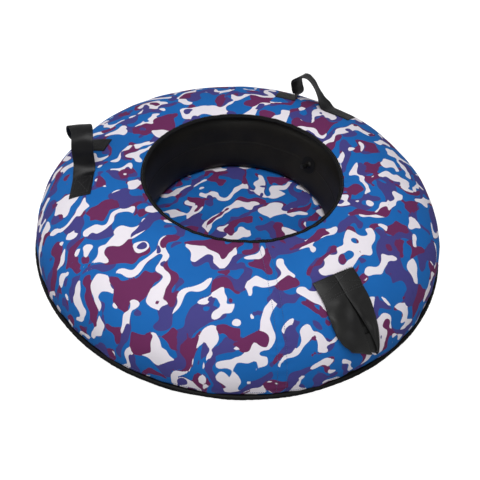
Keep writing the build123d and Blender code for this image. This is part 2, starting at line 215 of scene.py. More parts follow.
@dataclass
class Skin:
    """A grid of points, its columns closed to rings, that becomes one mesh.

    Attributes:
        points: grid of places, rows by columns by 3.
        rows_closed: the last row joins the first.
        weave: places on the flat cloth, rows by columns by 2, in metres.  A closed
            direction may have one line more, for the cells that join its ends.
        values: named numbers carried by the points, rows by columns each.
        capped: the first and last row are closed with one face each.
    """

    points: Array
    rows_closed: bool = False
    weave: Array | None = None
    values: dict[str, Array] = field(default_factory=dict)
    capped: bool = False

    def faces(self) -> tuple[Array, Array]:
        """Quads of the grid.

        Returns:
            Point numbers, and numbers into the weave's own grid, one row a quad.
        """
        rows, columns = self.points.shape[:2]
        down = np.arange(rows if self.rows_closed else rows - 1)
        grid = np.meshgrid(down, np.arange(columns), indexing="ij")
        down, along = (numbers.reshape(-1, 1) for numbers in grid)
        down = down + np.array([[0, 1, 1, 0]])
        along = along + np.array([[0, 0, 1, 1]])
        quads = down % rows * columns + along % columns
        if self.weave is None:
            return quads, quads
        high, wide = self.weave.shape[:2]
        return quads, down % high * wide + along % wide

    def build(self, name: str) -> bpy.types.Object:
        """Makes the mesh, with its faces turned outwards.

        Args:
            name: the piece's name.

        Returns:
            The new object, at the origin.
        """
        quads, flat_quads = self.faces()
        rows, columns = self.points.shape[:2]
        places = self.points.reshape(-1, 3)
        a, b, c, d = (places[quads[:, k]] for k in range(4))
        volume = np.sum(np.cross(b - a, c - a) * a + np.cross(c - a, d - a) * a)
        order = -1 if volume < 0 else 1
        faces = quads[:, ::order].tolist()
        if self.capped:
            ring = np.arange(columns)
            faces.append(ring[::order].tolist())
            faces.append(((rows - 1) * columns + ring)[::-order].tolist())
        piece = new_piece(name, places, faces)
        mesh = piece.data
        if self.weave is not None:
            corners = self.weave.reshape(-1, 2)[flat_quads[:, ::order].ravel()]
            if self.capped:
                corners = np.vstack([corners, np.zeros((2 * columns, 2))])
            layer = mesh.uv_layers.new(name="weave")
            layer.uv.foreach_set("vector", corners.astype(np.float32).ravel())
        for label, numbers in self.values.items():
            carried = mesh.attributes.new(label, "FLOAT", "POINT")
            carried.data.foreach_set("value", numbers.astype(np.float32).ravel())
        mesh.validate()
        mesh.update()
        return piece


@dataclass(frozen=True)
class Stitches:
    """Single stitches of sewing thread along a line.

    Attributes:
        length: length of a stitch that shows.
        pitch: from one stitch to the next.
        radius: radius of the thread.
        sink: share of the radius that the stitch's ends go down.
        straight: share of its half length that keeps its full girth.
        slim: girth of its ends, as a share.
        sides: points round it.
    """

    length: float = 0.0034
    pitch: float = 0.0046
    radius: float = 0.00045
    sink: float = 0.8
    straight: float = 0.72
    slim: float = 0.25
    sides: int = 6

    def template(self) -> tuple[Array, Array]:
        """One stitch along x with its ends bent down: a tube of four rings of points.

        Returns:
            Points, one a row, and the quads between the rings.
        """
        along = np.array([-1.0, -self.straight, self.straight, 1.0])
        girth = np.array([self.slim, 1.0, 1.0, self.slim])
        turn = around(self.sides)
        points = np.zeros((len(along), self.sides, 3))
        points[..., 0] = along[:, None] * self.length / 2
        points[..., 1] = girth[:, None] * np.cos(turn) * self.radius
        ends = np.abs(along[:, None]) == 1
        height = girth[:, None] * np.sin(turn) - self.sink * ends
        points[..., 2] = height * self.radius
        return points.reshape(-1, 3), Skin(points).faces()[0]

    def build(self, name: str, lines: Sequence[tuple[Array, Array]]) -> bpy.types.Object:
        """Sews along lines.

        Args:
            name: the piece's name.
            lines: pairs of a line of points and the outward direction at each.

        Returns:
            One object that holds every stitch.
        """
        shape, quads = self.template()
        first = np.arange(self.sides)
        last = first + len(shape) - self.sides
        places, faces, count = [], [], 0
        for line, outward in lines:
            along = run_length(line)
            total = max(1, int(along[-1] / self.pitch))
            middle = (np.arange(total) + 0.5) * along[-1] / total
            back, front = (
                resampled(middle + shift, along, line)
                for shift in (-self.length / 2, self.length / 2)
            )
            heading = unit(front - back)
            up = unit(resampled(middle, along, outward))
            basis = np.stack([heading, np.cross(up, heading), up], axis=1)
            centre = (back + front) / 2
            points = centre[:, None] + np.einsum("pk,nkx->npx", shape, basis)
            places.append(points.reshape(-1, 3))
            starts = (np.arange(total) * len(shape) + count)[:, None, None]
            faces.append((quads[None] + starts).reshape(-1, 4))
            faces += [starts[:, 0, :] + cap[None] for cap in (first[::-1], last)]
            count += total * len(shape)
        listed = [face for group in faces for face in group.tolist()]
        return new_piece(name, np.vstack(places), listed)


@dataclass(frozen=True)
class Ribbon:
    """A flat strap carried along a path, with rounded edges.

    Attributes:
        thickness: of the strap.
        across: number of strips over its width.
        edge: number of points round each edge.
        dent_size: middle wave length of its soft dents.
    """

    thickness: float
    across: int = 14
    edge: int = 4
    dent_size: float = 0.045

    def outline(self) -> tuple[Array, Array, Array]:
        """Closed section of the strap.

        Returns:
            For each point, its share of the flat half width, then its place across and
            its height round the edge in half thicknesses.
        """
        flat = np.linspace(-1, 1, self.across + 1)
        bend = np.linspace(0, math.pi, self.edge + 2)[1:-1]
        none = np.zeros(self.across + 1)
        share = np.concatenate([flat, np.ones(self.edge), flat[::-1], -np.ones(self.edge)])
        over = np.concatenate([none, np.sin(bend), none, -np.sin(bend)])
        high = np.concatenate([none + 1, np.cos(bend), none - 1, -np.cos(bend)])
        return share, over, high

    def skin(
        self,
        centre: Array,
        across: Array,
        half_width: Array,
        rise: Array,
        relief: float = 0.0,
        seed: int = 1,
        slanted: bool = False,
    ) -> tuple[Skin, Array]:
        """Strap along a path: its section stands on the path and its width direction.

        Args:
            centre: path, one point a row.
            across: width direction at each point of the path.
            half_width: at each point of the path.
            rise: extra height of the strap's faces, rows by columns, along its normal.
            relief: depth of its soft dents.
            seed: picks the dents.
            slanted: the width direction may slant along the path.

        Returns:
            The skin, and the base points without thickness.
        """
        heading = unit(np.gradient(centre, axis=0))
        along = np.sum(across * heading, axis=1, keepdims=True) * heading
        side = unit(across if slanted else across - along)
        normal = unit(np.cross(heading, side))
        share, over, high = self.outline()
        half = self.thickness / 2
        sideways = share[None] * (half_width[:, None] - half) + over[None] * half
        length = np.broadcast_to(run_length(centre)[:, None], sideways.shape)
        weave = np.stack([length, sideways], axis=-1)
        height = high[None] * half + rise
        if relief:
            height += relief * swell(weave, self.dent_size, seed)
        base = centre[:, None] + side[:, None] * sideways[..., None]
        points = base + normal[:, None] * height[..., None]
        return Skin(points, weave=weave, capped=True), base


# --------------------------------------------------------------------------- shaders


class Shade:
    """A number that changes over a surface; operators on it add Math nodes."""

    def __init__(self, graph: "Graph", socket: bpy.types.NodeSocket) -> None:
        """Wraps a socket of a graph."""
        self.graph = graph
        self.socket = socket

    def maths(self, operation: str, *others: "Shade | float") -> "Shade":
        """Adds one Math node with this number as its first input."""
        return self.graph.maths(operation, self, *others)

    def __add__(self, other: "Shade | float") -> "Shade":
        """Sum."""
        return self.maths("ADD", other)

    def __sub__(self, other: "Shade | float") -> "Shade":
        """Difference."""
        return self.maths("SUBTRACT", other)

    def __rsub__(self, other: float) -> "Shade":
        """Difference, from the right."""
        return self.graph.maths("SUBTRACT", other, self)

    def __mul__(self, other: "Shade | float") -> "Shade":
        """Product."""
        return self.maths("MULTIPLY", other)

    __radd__, __rmul__ = __add__, __mul__

    def sine(self) -> "Shade":
        """Sine of a number in radians."""
        return self.maths("SINE")

    def wave(self) -> "Shade":
        """Zigzag between 0 and 1 with a period of 1."""
        return self.maths("PINGPONG", 0.5) * 2

    def above(self, level: "Shade | float", softness: float) -> "Shade":
        """0 below a level and 1 above it, with an edge of a given softness."""
        inside = (self - level) * (1 / softness) + 0.5
        return inside.maths("MAXIMUM", 0.0).maths("MINIMUM", 1.0)


class Graph:
    """Node tree of one material."""

    def __init__(self, name: str) -> None:
        """Makes an empty material with an output."""
        self.material = bpy.data.materials.new(name)
        self.material.use_nodes = True
        self.tree = self.material.node_tree
        self.tree.nodes.clear()
        self.output = self.node("ShaderNodeOutputMaterial", {}, {})

    def node(self, kind: str, settings: dict, inputs: dict) -> bpy.types.Node:
        """Adds a node.

        Args:
            kind: the node's type.
            settings: its own settings, set first.
            inputs: values or links by socket name or number.

        Returns:
            The new node.
        """
        made = self.tree.nodes.new(kind)
        for name, setting in settings.items():
            setattr(made, name, setting)
        for name, value in inputs.items():
            self.feed(made.inputs[name], value)
        return made

    def feed(
        self,
        socket: bpy.types.NodeSocket,
        value: "Shade | bpy.types.NodeSocket | Colour | float",
    ) -> None:
        """Links a socket, or sets its value; a colour of three numbers is opaque."""
        if isinstance(value, Shade):
            value = value.socket
        if isinstance(value, bpy.types.NodeSocket):
            self.tree.links.new(value, socket)
        elif socket.type == "RGBA":
            socket.default_value = (*value, 1.0)
        else:
            socket.default_value = value

    def maths(self, operation: str, *terms: Shade | float) -> Shade:
        """Math node over its terms."""
        inputs = dict(enumerate(terms))
        made = self.node("ShaderNodeMath", {"operation": operation}, inputs)
        return Shade(self, made.outputs[0])

    def place(self) -> bpy.types.NodeSocket:
        """Place on the piece in its own axes, which are the frame's."""
        return self.node("ShaderNodeTexCoord", {}, {}).outputs["Object"]

    def parts(self, vector: bpy.types.NodeSocket) -> tuple[Shade, Shade, Shade]:
        """The three numbers of a vector."""
        made = self.node("ShaderNodeSeparateXYZ", {}, {0: vector})
        x, y, z = (Shade(self, made.outputs[k]) for k in range(3))
        return x, y, z

    def weave(self) -> tuple[Shade, Shade]:
        """Place on the flat cloth, along and across, in metres."""
        made = self.node("ShaderNodeUVMap", {"uv_map": "weave"}, {})
        along, across, _ = self.parts(made.outputs[0])
        return along, across

    def carried(self, name: str) -> Shade:
        """A number that the mesh's points carry."""
        made = self.node("ShaderNodeAttribute", {"attribute_name": name}, {})
        return Shade(self, made.outputs["Fac"])

    def noise(self, scale: float, detail: float = 2.0, rough: float = 0.5) -> Shade:
        """Noise between 0 and 1 over the piece's place."""
        inputs = {"Vector": self.place(), "Scale": scale, "Detail": detail}
        inputs["Roughness"] = rough
        return Shade(self, self.node("ShaderNodeTexNoise", {}, inputs).outputs["Fac"])

    def cells(self, scale: float) -> Shade:
        """Distance to the nearest of scattered points, over the piece's place."""
        inputs = {"Vector": self.place(), "Scale": scale}
        return Shade(self, self.node("ShaderNodeTexVoronoi", {}, inputs).outputs["Distance"])

    def mix(
        self,
        factor: Shade | float,
        first: "Colour | bpy.types.NodeSocket",
        second: "Colour | bpy.types.NodeSocket",
    ) -> bpy.types.NodeSocket:
        """Colour between two colours."""
        made = self.node("ShaderNodeMix", {"data_type": "RGBA"}, {})
        sockets = {socket.identifier: socket for socket in made.inputs}
        self.feed(sockets["Factor_Float"], factor)
        self.feed(sockets["A_Color"], first)
        self.feed(sockets["B_Color"], second)
        return next(s for s in made.outputs if s.identifier == "Result_Color")

    def finish(
        self,
        colour: "Colour | bpy.types.NodeSocket",
        roughness: Shade | float,
        height: Shade | None = None,
        depth: float = 0.001,
        strength: float = 1.0,
        **constants: float,
    ) -> bpy.types.Material:
        """Closes the tree with one surface shader.

        Args:
            colour: base colour.
            roughness: base roughness.
            height: relief between 0 and 1, for the bump.
            depth: height of that relief in metres.
            strength: how much of the bump shows.
            constants: other sockets of the shader, with words joined by underscores.

        Returns:
            The finished material.
        """
        inputs: dict = {"Roughness": roughness, "Base Color": colour}
        for name, value in constants.items():
            inputs[name.replace("_", " ").title().replace("Ior", "IOR")] = value
        if height is not None:
            bump = {"Height": height, "Distance": depth, "Strength": strength}
            inputs["Normal"] = self.node("ShaderNodeBump", {}, bump).outputs["Normal"]
        shader = self.node("ShaderNodeBsdfPrincipled", {}, inputs)
        self.tree.links.new(shader.outputs[0], self.output.inputs["Surface"])
        return self.material


def tint(code: str) -> Colour:
    """Linear colour of a six-digit colour code."""
    parts = [int(code[k : k + 2], 16) / 255 for k in (0, 2, 4)]
    r, g, b = (p / 12.92 if p <= 0.04045 else ((p + 0.055) / 1.055) ** 2.4 for p in parts)
    return r, g, b


@dataclass(frozen=True)
class Camouflage:
    """Printed woven polyester: blue ground with ivory, plum and violet patches.

    Attributes:
        *_level: field value at which a patch begins.
        plum_over, violet_over: values above which plum and violet cover the ivory.
        edge: softness of the patches' edges, in field values.
        thread: distance between threads.
        cloud, fuzz, fluff: scales of the ground's cloudy colour, of the sheen's change
            and of the fine hairs.
        relief: depth of the weave.
    """

    ground: str = "1a71c2"
    ground_deep: str = "1361ae"
    ivory: str = "f4eef6"
    plum: str = "6e2b5c"
    violet: str = "474389"
    ivory_level: float = 0.56
    plum_level: float = 0.86
    violet_level: float = 0.48
    plum_over: float = 1.12
    violet_over: float = 1.08
    edge: float = 0.05
    thread: float = 0.0011
    cloud: float = 7.0
    fuzz: float = 60.0
    fluff: float = 900.0
    relief: float = 0.00012

    def material(self) -> bpy.types.Material:
        """Patches cut from the carried fields at their levels, over a plain weave."""
        graph = Graph("camouflage_cloth")
        ivory, plum, violet = (graph.carried(n) for n in ("ivory", "plum", "violet"))
        colour = graph.mix(graph.noise(self.cloud), tint(self.ground), tint(self.ground_deep))
        for patches, level, paint in (
            (violet, self.violet_level, self.violet),
            (plum, self.plum_level, self.plum),
            (ivory, self.ivory_level, self.ivory),
            (violet, self.violet_over, self.violet),
            (plum, self.plum_over, self.plum),
        ):
            colour = graph.mix(patches.above(level, self.edge), colour, tint(paint))
        along, across = graph.weave()
        warp = (along * (TURN / self.thread)).sine()
        weft = (across * (TURN / self.thread)).sine()
        cloth = warp * weft
        colour = graph.mix(cloth * 0.035 + 0.035, colour, (0.02, 0.02, 0.03))
        return graph.finish(
            colour,
            graph.noise(self.fuzz) * 0.12 + 0.72,
            cloth * 0.5 + graph.noise(self.fluff) * 0.4,
            depth=self.relief,
            strength=0.5,
            specular_ior_level=0.18,
        )


@dataclass(frozen=True)
class CoatedCloth:
    """Black coated cloth with a fine square rib.

    Attributes:
        rib: distance between ribs.
        cloud, fuzz: scales of the cloudy colour and of the sheen's change.
        relief: depth of the ribs.
    """

    colour: str = "26272a"
    deep: str = "1b1c1e"
    rib: float = 0.006
    cloud: float = 9.0
    fuzz: float = 25.0
    relief: float = 0.0002

    def material(self) -> bpy.types.Material:
        """Ribs both ways where their waves peak."""
        graph = Graph("coated_cloth")
        along, across = graph.weave()
        ribs = [(axis * (1 / self.rib)).wave().above(0.86, 0.2) for axis in (along, across)]
        height = ribs[0].maths("MAXIMUM", ribs[1])
        colour = graph.mix(graph.noise(self.cloud, 4.0), tint(self.colour), tint(self.deep))
        rough = graph.noise(self.fuzz, 3.0) * 0.2 + 0.38
        return graph.finish(colour, rough, height, depth=self.relief, strength=0.7)


@dataclass(frozen=True)
class Webbing:
    """Black woven webbing: short ribs in a herringbone, with a soft sheen.

    Attributes:
        rib: distance between ribs.
        row: width of two rows, in which the ribs slant one way and the other.
        grain: scale of the fine hairs.
        relief: depth of the weave.
    """

    colour: str = "08080a"
    light: str = "141417"
    rib: float = 0.0022
    row: float = 0.0075
    grain: float = 700.0
    relief: float = 0.00025

    def material(self) -> bpy.types.Material:
        """Ribs that slant one way and the other in rows along the strap."""
        graph = Graph("webbing")
        along, across = graph.weave()
        zigzag = (across * (1 / self.row)).wave() * self.row * 0.5
        rib = ((along + zigzag) * (TURN / self.rib)).sine() * 0.5 + 0.5
        grain = graph.noise(self.grain)
        colour = graph.mix(rib * 0.5 + grain * 0.3, tint(self.colour), tint(self.light))
        return graph.finish(
            colour,
            grain * 0.14 + 0.27,
            rib * 0.7 + grain * 0.3,
            depth=self.relief,
            strength=0.6,
            specular_ior_level=0.34,
        )


@dataclass(frozen=True)
class BindingTape:
    """Black grosgrain tape: fine ribs across its length.

    Attributes:
        rib: distance between ribs.
        grain: scale of the fine hairs.
        relief: depth of the ribs.
    """

    colour: str = "0a0a0b"
    light: str = "121214"
    rib: float = 0.0016
    grain: float = 500.0
    relief: float = 0.0002

    def material(self) -> bpy.types.Material:
        """Ribs as a sine along the tape."""
        graph = Graph("binding")
        along, _ = graph.weave()
        rib = (along * (TURN / self.rib)).sine() * 0.5 + 0.5
        grain = graph.noise(self.grain)
        colour = graph.mix(rib * 0.4 + grain * 0.3, tint(self.colour), tint(self.light))
        rough = grain * 0.2 + 0.55
        return graph.finish(colour, rough, rib, depth=self.relief, specular_ior_level=0.18)


@dataclass(frozen=True)
class Vinyl:
    """Soft vinyl with a fine leather grain.

    Attributes:
        worn: colour of its cloudy patches.
        rough: middle roughness.
        grain, cloud, dents: scales of the grain, the patches and the soft dents.
        shine: specular level.
        relief: depth of the grain.
    """

    name: str
    colour: str
    worn: str
    rough: float = 0.42
    grain: float = 900.0
    shine: float = 0.25
    cloud: float = 14.0
    dents: float = 160.0
    relief: float = 0.0002

    def material(self) -> bpy.types.Material:
        """Grain from scattered cells, with cloudy colour and sheen."""
        graph = Graph(self.name)
        cloud = graph.noise(self.cloud, 4.0)
        fine = graph.cells(self.grain)
        colour = graph.mix(cloud.above(0.5, 0.5), tint(self.colour), tint(self.worn))
        rough = cloud * 0.22 + (self.rough - 0.1)
        height = fine * 0.7 + graph.noise(self.dents, 3.0) * 0.5
        look = {"strength": 0.6, "specular_ior_level": self.shine}
        return graph.finish(colour, rough, height, depth=self.relief, **look)


@dataclass(frozen=True)
class Rubber:
    """Matt black rubber, lightened in warm dusty clouds that are partly dust and partly a
    painted highlight.

    Attributes:
        bloom_and_highlight: colour of the dusty clouds, partly dust and partly a painted
            highlight.
        rough: middle roughness.
        cloud, speck, grain: scales of the clouds, the specks and the fine relief.
        relief: depth of the fine relief.
    """

    name: str
    colour: str = "080808"
    bloom_and_highlight: str = "2c2820"
    rough: float = 0.5
    cloud: float = 6.0
    speck: float = 220.0
    grain: float = 420.0
    relief: float = 0.0002

    def material(self) -> bpy.types.Material:
        """Dust and painted highlight in broad clouds, and dust in fine specks."""
        graph = Graph(self.name)
        cloud = graph.noise(self.cloud, 5.0, 0.6)
        specks = graph.noise(self.speck, 3.0).above(0.66, 0.1)
        # Painted highlight: the broad clouds lighten the black to a warm colour, partly dust
        # and partly a painted highlight; the specks are dust.
        bloom_and_highlight_mask = cloud.above(0.52, 0.5) * 0.7 + specks * 0.15
        colour = graph.mix(bloom_and_highlight_mask, tint(self.colour), tint(self.bloom_and_highlight))
        rough = cloud * 0.16 + (self.rough - 0.05)
        height = graph.noise(self.grain, 3.0)
        look = {"strength": 0.35, "specular_ior_level": 0.25}
        return graph.finish(colour, rough, height, depth=self.relief, **look)


@dataclass(frozen=True)
class Thread:
    """Twisted sewing thread.

    Attributes:
        twist: distance between strands.
        fuzz: scale of the sheen's change.
        relief: depth of the strands.
    """

    name: str
    colour: str
    light: str
    twist: float = 0.0008
    fuzz: float = 800.0
    relief: float = 0.0001

    def material(self) -> bpy.types.Material:
        """Fine slanting strands."""
        graph = Graph(self.name)
        x, y, z = graph.parts(graph.place())
        strand = ((x + y + z) * (TURN / self.twist)).sine() * 0.5 + 0.5
        colour = graph.mix(strand * 0.6, tint(self.colour), tint(self.light))
        rough = graph.noise(self.fuzz) * 0.2 + 0.45
        return graph.finish(colour, rough, strand, depth=self.relief, sheen_weight=0.2)


@dataclass(frozen=True)
class Metal:
    """Metal with cloudy tarnish and fine scratches.

    Attributes:
        dull: colour of the tarnish.
        rough: lowest roughness.
        cloud, scratch: scales of the tarnish and of the scratches.
        relief: depth of the scratches.
    """

    name: str
    colour: str
    dull: str
    rough: float = 0.3
    cloud: float = 130.0
    scratch: float = 2500.0
    relief: float = 0.00005

    def material(self) -> bpy.types.Material:
        """Tarnish in clouds, and fine scratches."""
        graph = Graph(self.name)
        cloud = graph.noise(self.cloud, 4.0)
        scratches = graph.noise(self.scratch)
        colour = graph.mix(cloud.above(0.5, 0.6), tint(self.colour), tint(self.dull))
        rough = cloud * 0.2 + self.rough
        return graph.finish(colour, rough, scratches, depth=self.relief, metallic=1.0)


@dataclass(frozen=True)
class Moulded:
    """Moulded plastic with a fine spark-eroded grain.

    Attributes:
        cloud, grain: scales of the colour's change and of the grain.
        relief: depth of the grain.
    """

    name: str
    colour: str
    light: str
    cloud: float = 90.0
    grain: float = 1800.0
    relief: float = 0.00006

    def material(self) -> bpy.types.Material:
        """Even colour with a fine grain."""
        graph = Graph(self.name)
        grain = graph.noise(self.grain)
        colour = graph.mix(graph.noise(self.cloud), tint(self.colour), tint(self.light))
        return graph.finish(colour, grain * 0.15 + 0.35, grain, depth=self.relief)


@dataclass(frozen=True)
class Yarn:
    """Soft twisted filler cord or plain tape of spun yarn.

    Attributes:
        twist: distance between strands.
        fluff: scale of the fine hairs.
        relief: depth of the strands.
    """

    name: str
    colour: str
    light: str
    twist: float
    fluff: float = 900.0
    relief: float = 0.0003

    def material(self) -> bpy.types.Material:
        """Slanting strands over fuzz."""
        graph = Graph(self.name)
        x, y, z = graph.parts(graph.place())
        strand = ((x - y + z * 2) * (TURN / self.twist)).sine() * 0.5 + 0.5
        fuzz = graph.noise(self.fluff, 3.0)
        colour = graph.mix(strand * 0.6 + fuzz * 0.3, tint(self.colour), tint(self.light))
        rough = fuzz * 0.1 + 0.8
        return graph.finish(colour, rough, strand, depth=self.relief, sheen_weight=0.3)


class Finishes:
    """Every material of the tube, made once."""

    def __init__(self) -> None:
        """Makes the materials."""
        self.camouflage = Camouflage().material()
        self.coated = CoatedCloth().material()
        self.webbing = Webbing().material()
        self.binding = BindingTape().material()
        self.strap = Vinyl("strap_vinyl", "151516", "242423", 0.42, 900.0, 0.34).material()
        self.piping = Vinyl("piping_vinyl", "070708", "0f0f10", 0.5, 1400.0, 0.15).material()
        # The butyl's warm second colour is partly dust and partly a painted highlight on the
        # tube's inner wall.
        self.butyl = Rubber("butyl").material()
        self.valve_rubber = Rubber("valve_rubber", "070707", "171513", 0.5).material()
        self.seal = Rubber("seal_rubber", "1a1817", "2c2927", 0.6).material()
        self.thread_blue = Thread("thread_blue", "173a72", "2f5c9e").material()
        self.thread_black = Thread("thread_black", "0f0f11", "29292d").material()
        self.brass = Metal("brass", "c9a154", "8c6a31").material()
        self.steel = Metal("spring_steel", "b4b6ba", "7e8084", 0.25).material()
        self.cap = Moulded("cap_plastic", "0e0e0e", "1c1c1c").material()
        self.cord = Yarn("cord_white", "cfcabf", "ece8de", 0.004).material()
        self.tape = Yarn("tape", "1c1c1f", "303036", 0.0014).material()


def dress(piece: bpy.types.Object, material: bpy.types.Material) -> None:
    """Gives a piece a material, in place of what it had."""
    piece.data.materials.clear()
    piece.data.materials.append(material)


# ------------------------------------------------------------------------ the pieces


def settle(
    piece: bpy.types.Object,
    slot: str,
    material: bpy.types.Material,
    *nodes: str,
    body: Body | None = Body.TUBE,
) -> bpy.types.Object:
    """Dresses a new piece, names what it stands for, and lets it ride.

    Args:
        piece: the new piece.
        slot: the material slot's name; not used.
        material: its finish.
        nodes: the frame's nodes that it replaces.
        body: what it rides on, or None for a piece that rides on nothing.

    Returns:
        The piece.
    """
    dress(piece, material)
    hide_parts(*nodes)
    if body is not None:
        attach(piece, body.value)
    LOG.info("%s: %d faces, stands for %s", piece.name, len(piece.data.polygons), nodes)
    return piece


@dataclass(frozen=True)
class CoverSection:
    """Section of the top cover: a short wall over the hem, then part of an ellipse.

    Attributes:
        crown: radius where the cover is highest.
        width: from the crown out to the widest point.
        height: from the widest point up to the crown.
        widest: height of the widest point.
        hem: height of the hem.
        rim: radius of the hole's edge.
        thickness: of the cloth.
        seam_angle: where the radial seam is.
        seam_gap: half the distance between its two rows.
        groove_depth, groove_width: of the groove along each row.
        deepest: no small dent goes deeper.
    """

    crown: float = 0.300
    width: float = 0.197
    height: float = 0.158
    widest: float = 0.040
    hem: float = 0.0273
    rim: float = 0.231
    thickness: float = 0.0012
    seam_angle: float = math.radians(-21)
    seam_gap: float = 0.009
    groove_depth: float = 0.0016
    groove_width: float = 0.0028
    deepest: float = 0.0008

    def table(self) -> tuple[Array, Array, Array, Array]:
        """Fine samples of the section from the hem to the rim.

        Returns:
            Length from the hem, radius, height, and the outward normal's two numbers.
        """
        last = math.acos((self.rim - self.crown) / self.width)
        angle = np.linspace(0, last, 900)
        radius = self.crown + self.width * np.cos(angle)
        height = self.widest + self.height * np.sin(angle)
        out = unit(
            np.stack([np.cos(angle) * self.height, np.sin(angle) * self.width], axis=1)
        )
        radius = np.concatenate([[radius[0]], radius])
        height = np.concatenate([[self.hem], height])
        out = np.vstack([out[:1], out])
        return run_length(np.stack([radius, height], axis=1)), radius, height, out

    def total(self) -> float:
        """Length of the section from the hem to the rim."""
        return float(self.table()[0][-1])

    def length_at(self, radius: Array) -> Array:
        """Length from the hem of the section's point at a radius."""
        length, radii, _, _ = self.table()
        return np.interp(radius, radii[1:][::-1], length[1:][::-1])

    def flat(self, length: Array, angle: Array) -> Array:
        """Place on the flat cloth: the distance from the crown, measured on the cloth."""
        crown_length = float(self.length_at(np.array(self.crown)))
        return turned(self.crown + crown_length - length, angle)

    def broad(self, length: Array, angle: Array) -> Array:
        """Slow waves of the whole inflated body, outwards."""
        return 0.0008 * swell(self.flat(length, angle), 0.24, 3)

    def relief(self, length: Array, angle: Array) -> Array:
        """Small dents and puckers of the stretched cloth, outwards.

        Waves round the hem and the rim die away with an exponential of the distance.
        Along the radial seam, two bell-shaped grooves with drawn waves stand beside a
        low ridge.  A hyperbolic tangent keeps dents under the deepest one, and the slow
        waves of the whole body are added last.
        """
        cloth = self.flat(length, angle)
        radius = np.linalg.norm(cloth, axis=-1)
        round_it = np.stack([angle * 0.5, length * 0.35], axis=-1)
        lift = 0.0003 * swell(cloth, 0.07, 4)
        for depth, reach, distance, size, seed in (
            (0.0013, 0.032, length, 0.052, 5),
            (0.0006, 0.028, self.total() - length, 0.045, 6),
        ):
            lift += depth * np.exp(-distance / reach) * swell(round_it, size, seed, 16)
        offset = (angle - self.seam_angle + math.pi) % TURN - math.pi
        beside = offset * np.minimum(radius, 0.5)
        from_row = np.abs(beside) - self.seam_gap
        drawn = np.sin(length * TURN / 0.019 + 2 * np.sin(length * 60))
        lift += 0.0007 * bell(from_row, 0.012) * drawn + 0.0006 * bell(beside, self.seam_gap)
        lift -= self.groove_depth * bell(from_row, self.groove_width)
        dented = -self.deepest * np.tanh(-lift / self.deepest)
        return np.where(lift < 0, dented, lift) + self.broad(length, angle)

    def at(self, length: Array, angle: Array, lift: Array | float) -> tuple[Array, Array]:
        """Places over the cover.

        Args:
            length: from the hem along the section.
            angle: round the axis.
            lift: height over the cloth's outer face, dents included.

        Returns:
            Places and outward directions.
        """
        lengths, radii, heights, out = self.table()
        length, angle = np.broadcast_arrays(np.asarray(length, float), angle)
        radius = np.interp(length, lengths, radii)
        height = np.interp(length, lengths, heights)
        side = np.interp(length, lengths, out[:, 0])
        up = np.interp(length, lengths, out[:, 1])
        normal = turned(side, angle, up)
        high = lift + self.relief(length, angle)
        return turned(radius, angle, height) + normal * high[..., None], normal

    def over(self, plan: Array, lift: Array | float) -> tuple[Array, Array]:
        """Places over the cover at plan places x, y."""
        radius = np.linalg.norm(plan[..., :2], axis=-1)
        angle = np.arctan2(plan[..., 1], plan[..., 0])
        return self.at(self.length_at(radius), angle, lift)


@dataclass(frozen=True)
class Print:
    """The three patch fields of the camouflage print, over flat cloth places.

    Attributes:
        grain: the direction in which the patches are longer.
        squeeze: how much slower the waves run along it than across.
        sway: size of the slow shifts that bend the patches.
        lobe: size of the quick shifts that give them lobes.
        ragged: share of finer waves, which roughen the patches' edges.
    """

    grain: float = math.radians(104)
    squeeze: float = 0.56
    sway: float = 0.013
    lobe: float = 0.0072
    ragged: float = 0.22

    def patches(
        self, cloth: Array, main: tuple[Array, float], fine: float, seed: int
    ) -> Array:
        """One patch field: waves over the slanted places and finer ones over the cloth.

        Args:
            cloth: places on the flat cloth.
            main: slanted places, and the middle length of the waves over them.
            fine: middle length of the finer waves.
            seed: picks the waves; the finer ones take the next.

        Returns:
            The field.
        """
        return swell(*main, seed, 70) + self.ragged * swell(cloth, fine, seed + 1, 60)

    def fields(self, cloth: Array) -> dict[str, Array]:
        """Random fields whose high parts are the patches.

        Each is a sum of waves near one length, over places that slow and quick waves
        have shifted, and turned and squeezed along the grain.  Plum and violet are
        higher where the ivory field is about to reach its level.

        Args:
            cloth: places on the flat cloth, 2 numbers each.

        Returns:
            A field for each patch colour.
        """
        slow = np.stack([swell(cloth, 0.14, k, 24) for k in (21, 22)], axis=-1)
        quick = np.stack([swell(cloth, 0.058, k, 40) for k in (27, 28)], axis=-1)
        bent = cloth + self.sway * slow + self.lobe * quick
        c, s = math.cos(self.grain), math.sin(self.grain)
        slanted = bent @ np.array([[c, -s], [s, c]]) * np.array([self.squeeze, 1.0])
        ivory = self.patches(cloth, (slanted, 0.055), 0.032, 23)
        plum = self.patches(cloth, (slanted, 0.055), 0.032, 25)
        violet = self.patches(cloth, (slanted + 0.3, 0.061), 0.034, 33)
        near = bell(ivory - 0.3, 0.45)
        plum, violet = plum + 0.5 * near - 0.22, violet + 0.3 * near - 0.1
        return {"ivory": ivory, "plum": plum, "violet": violet}


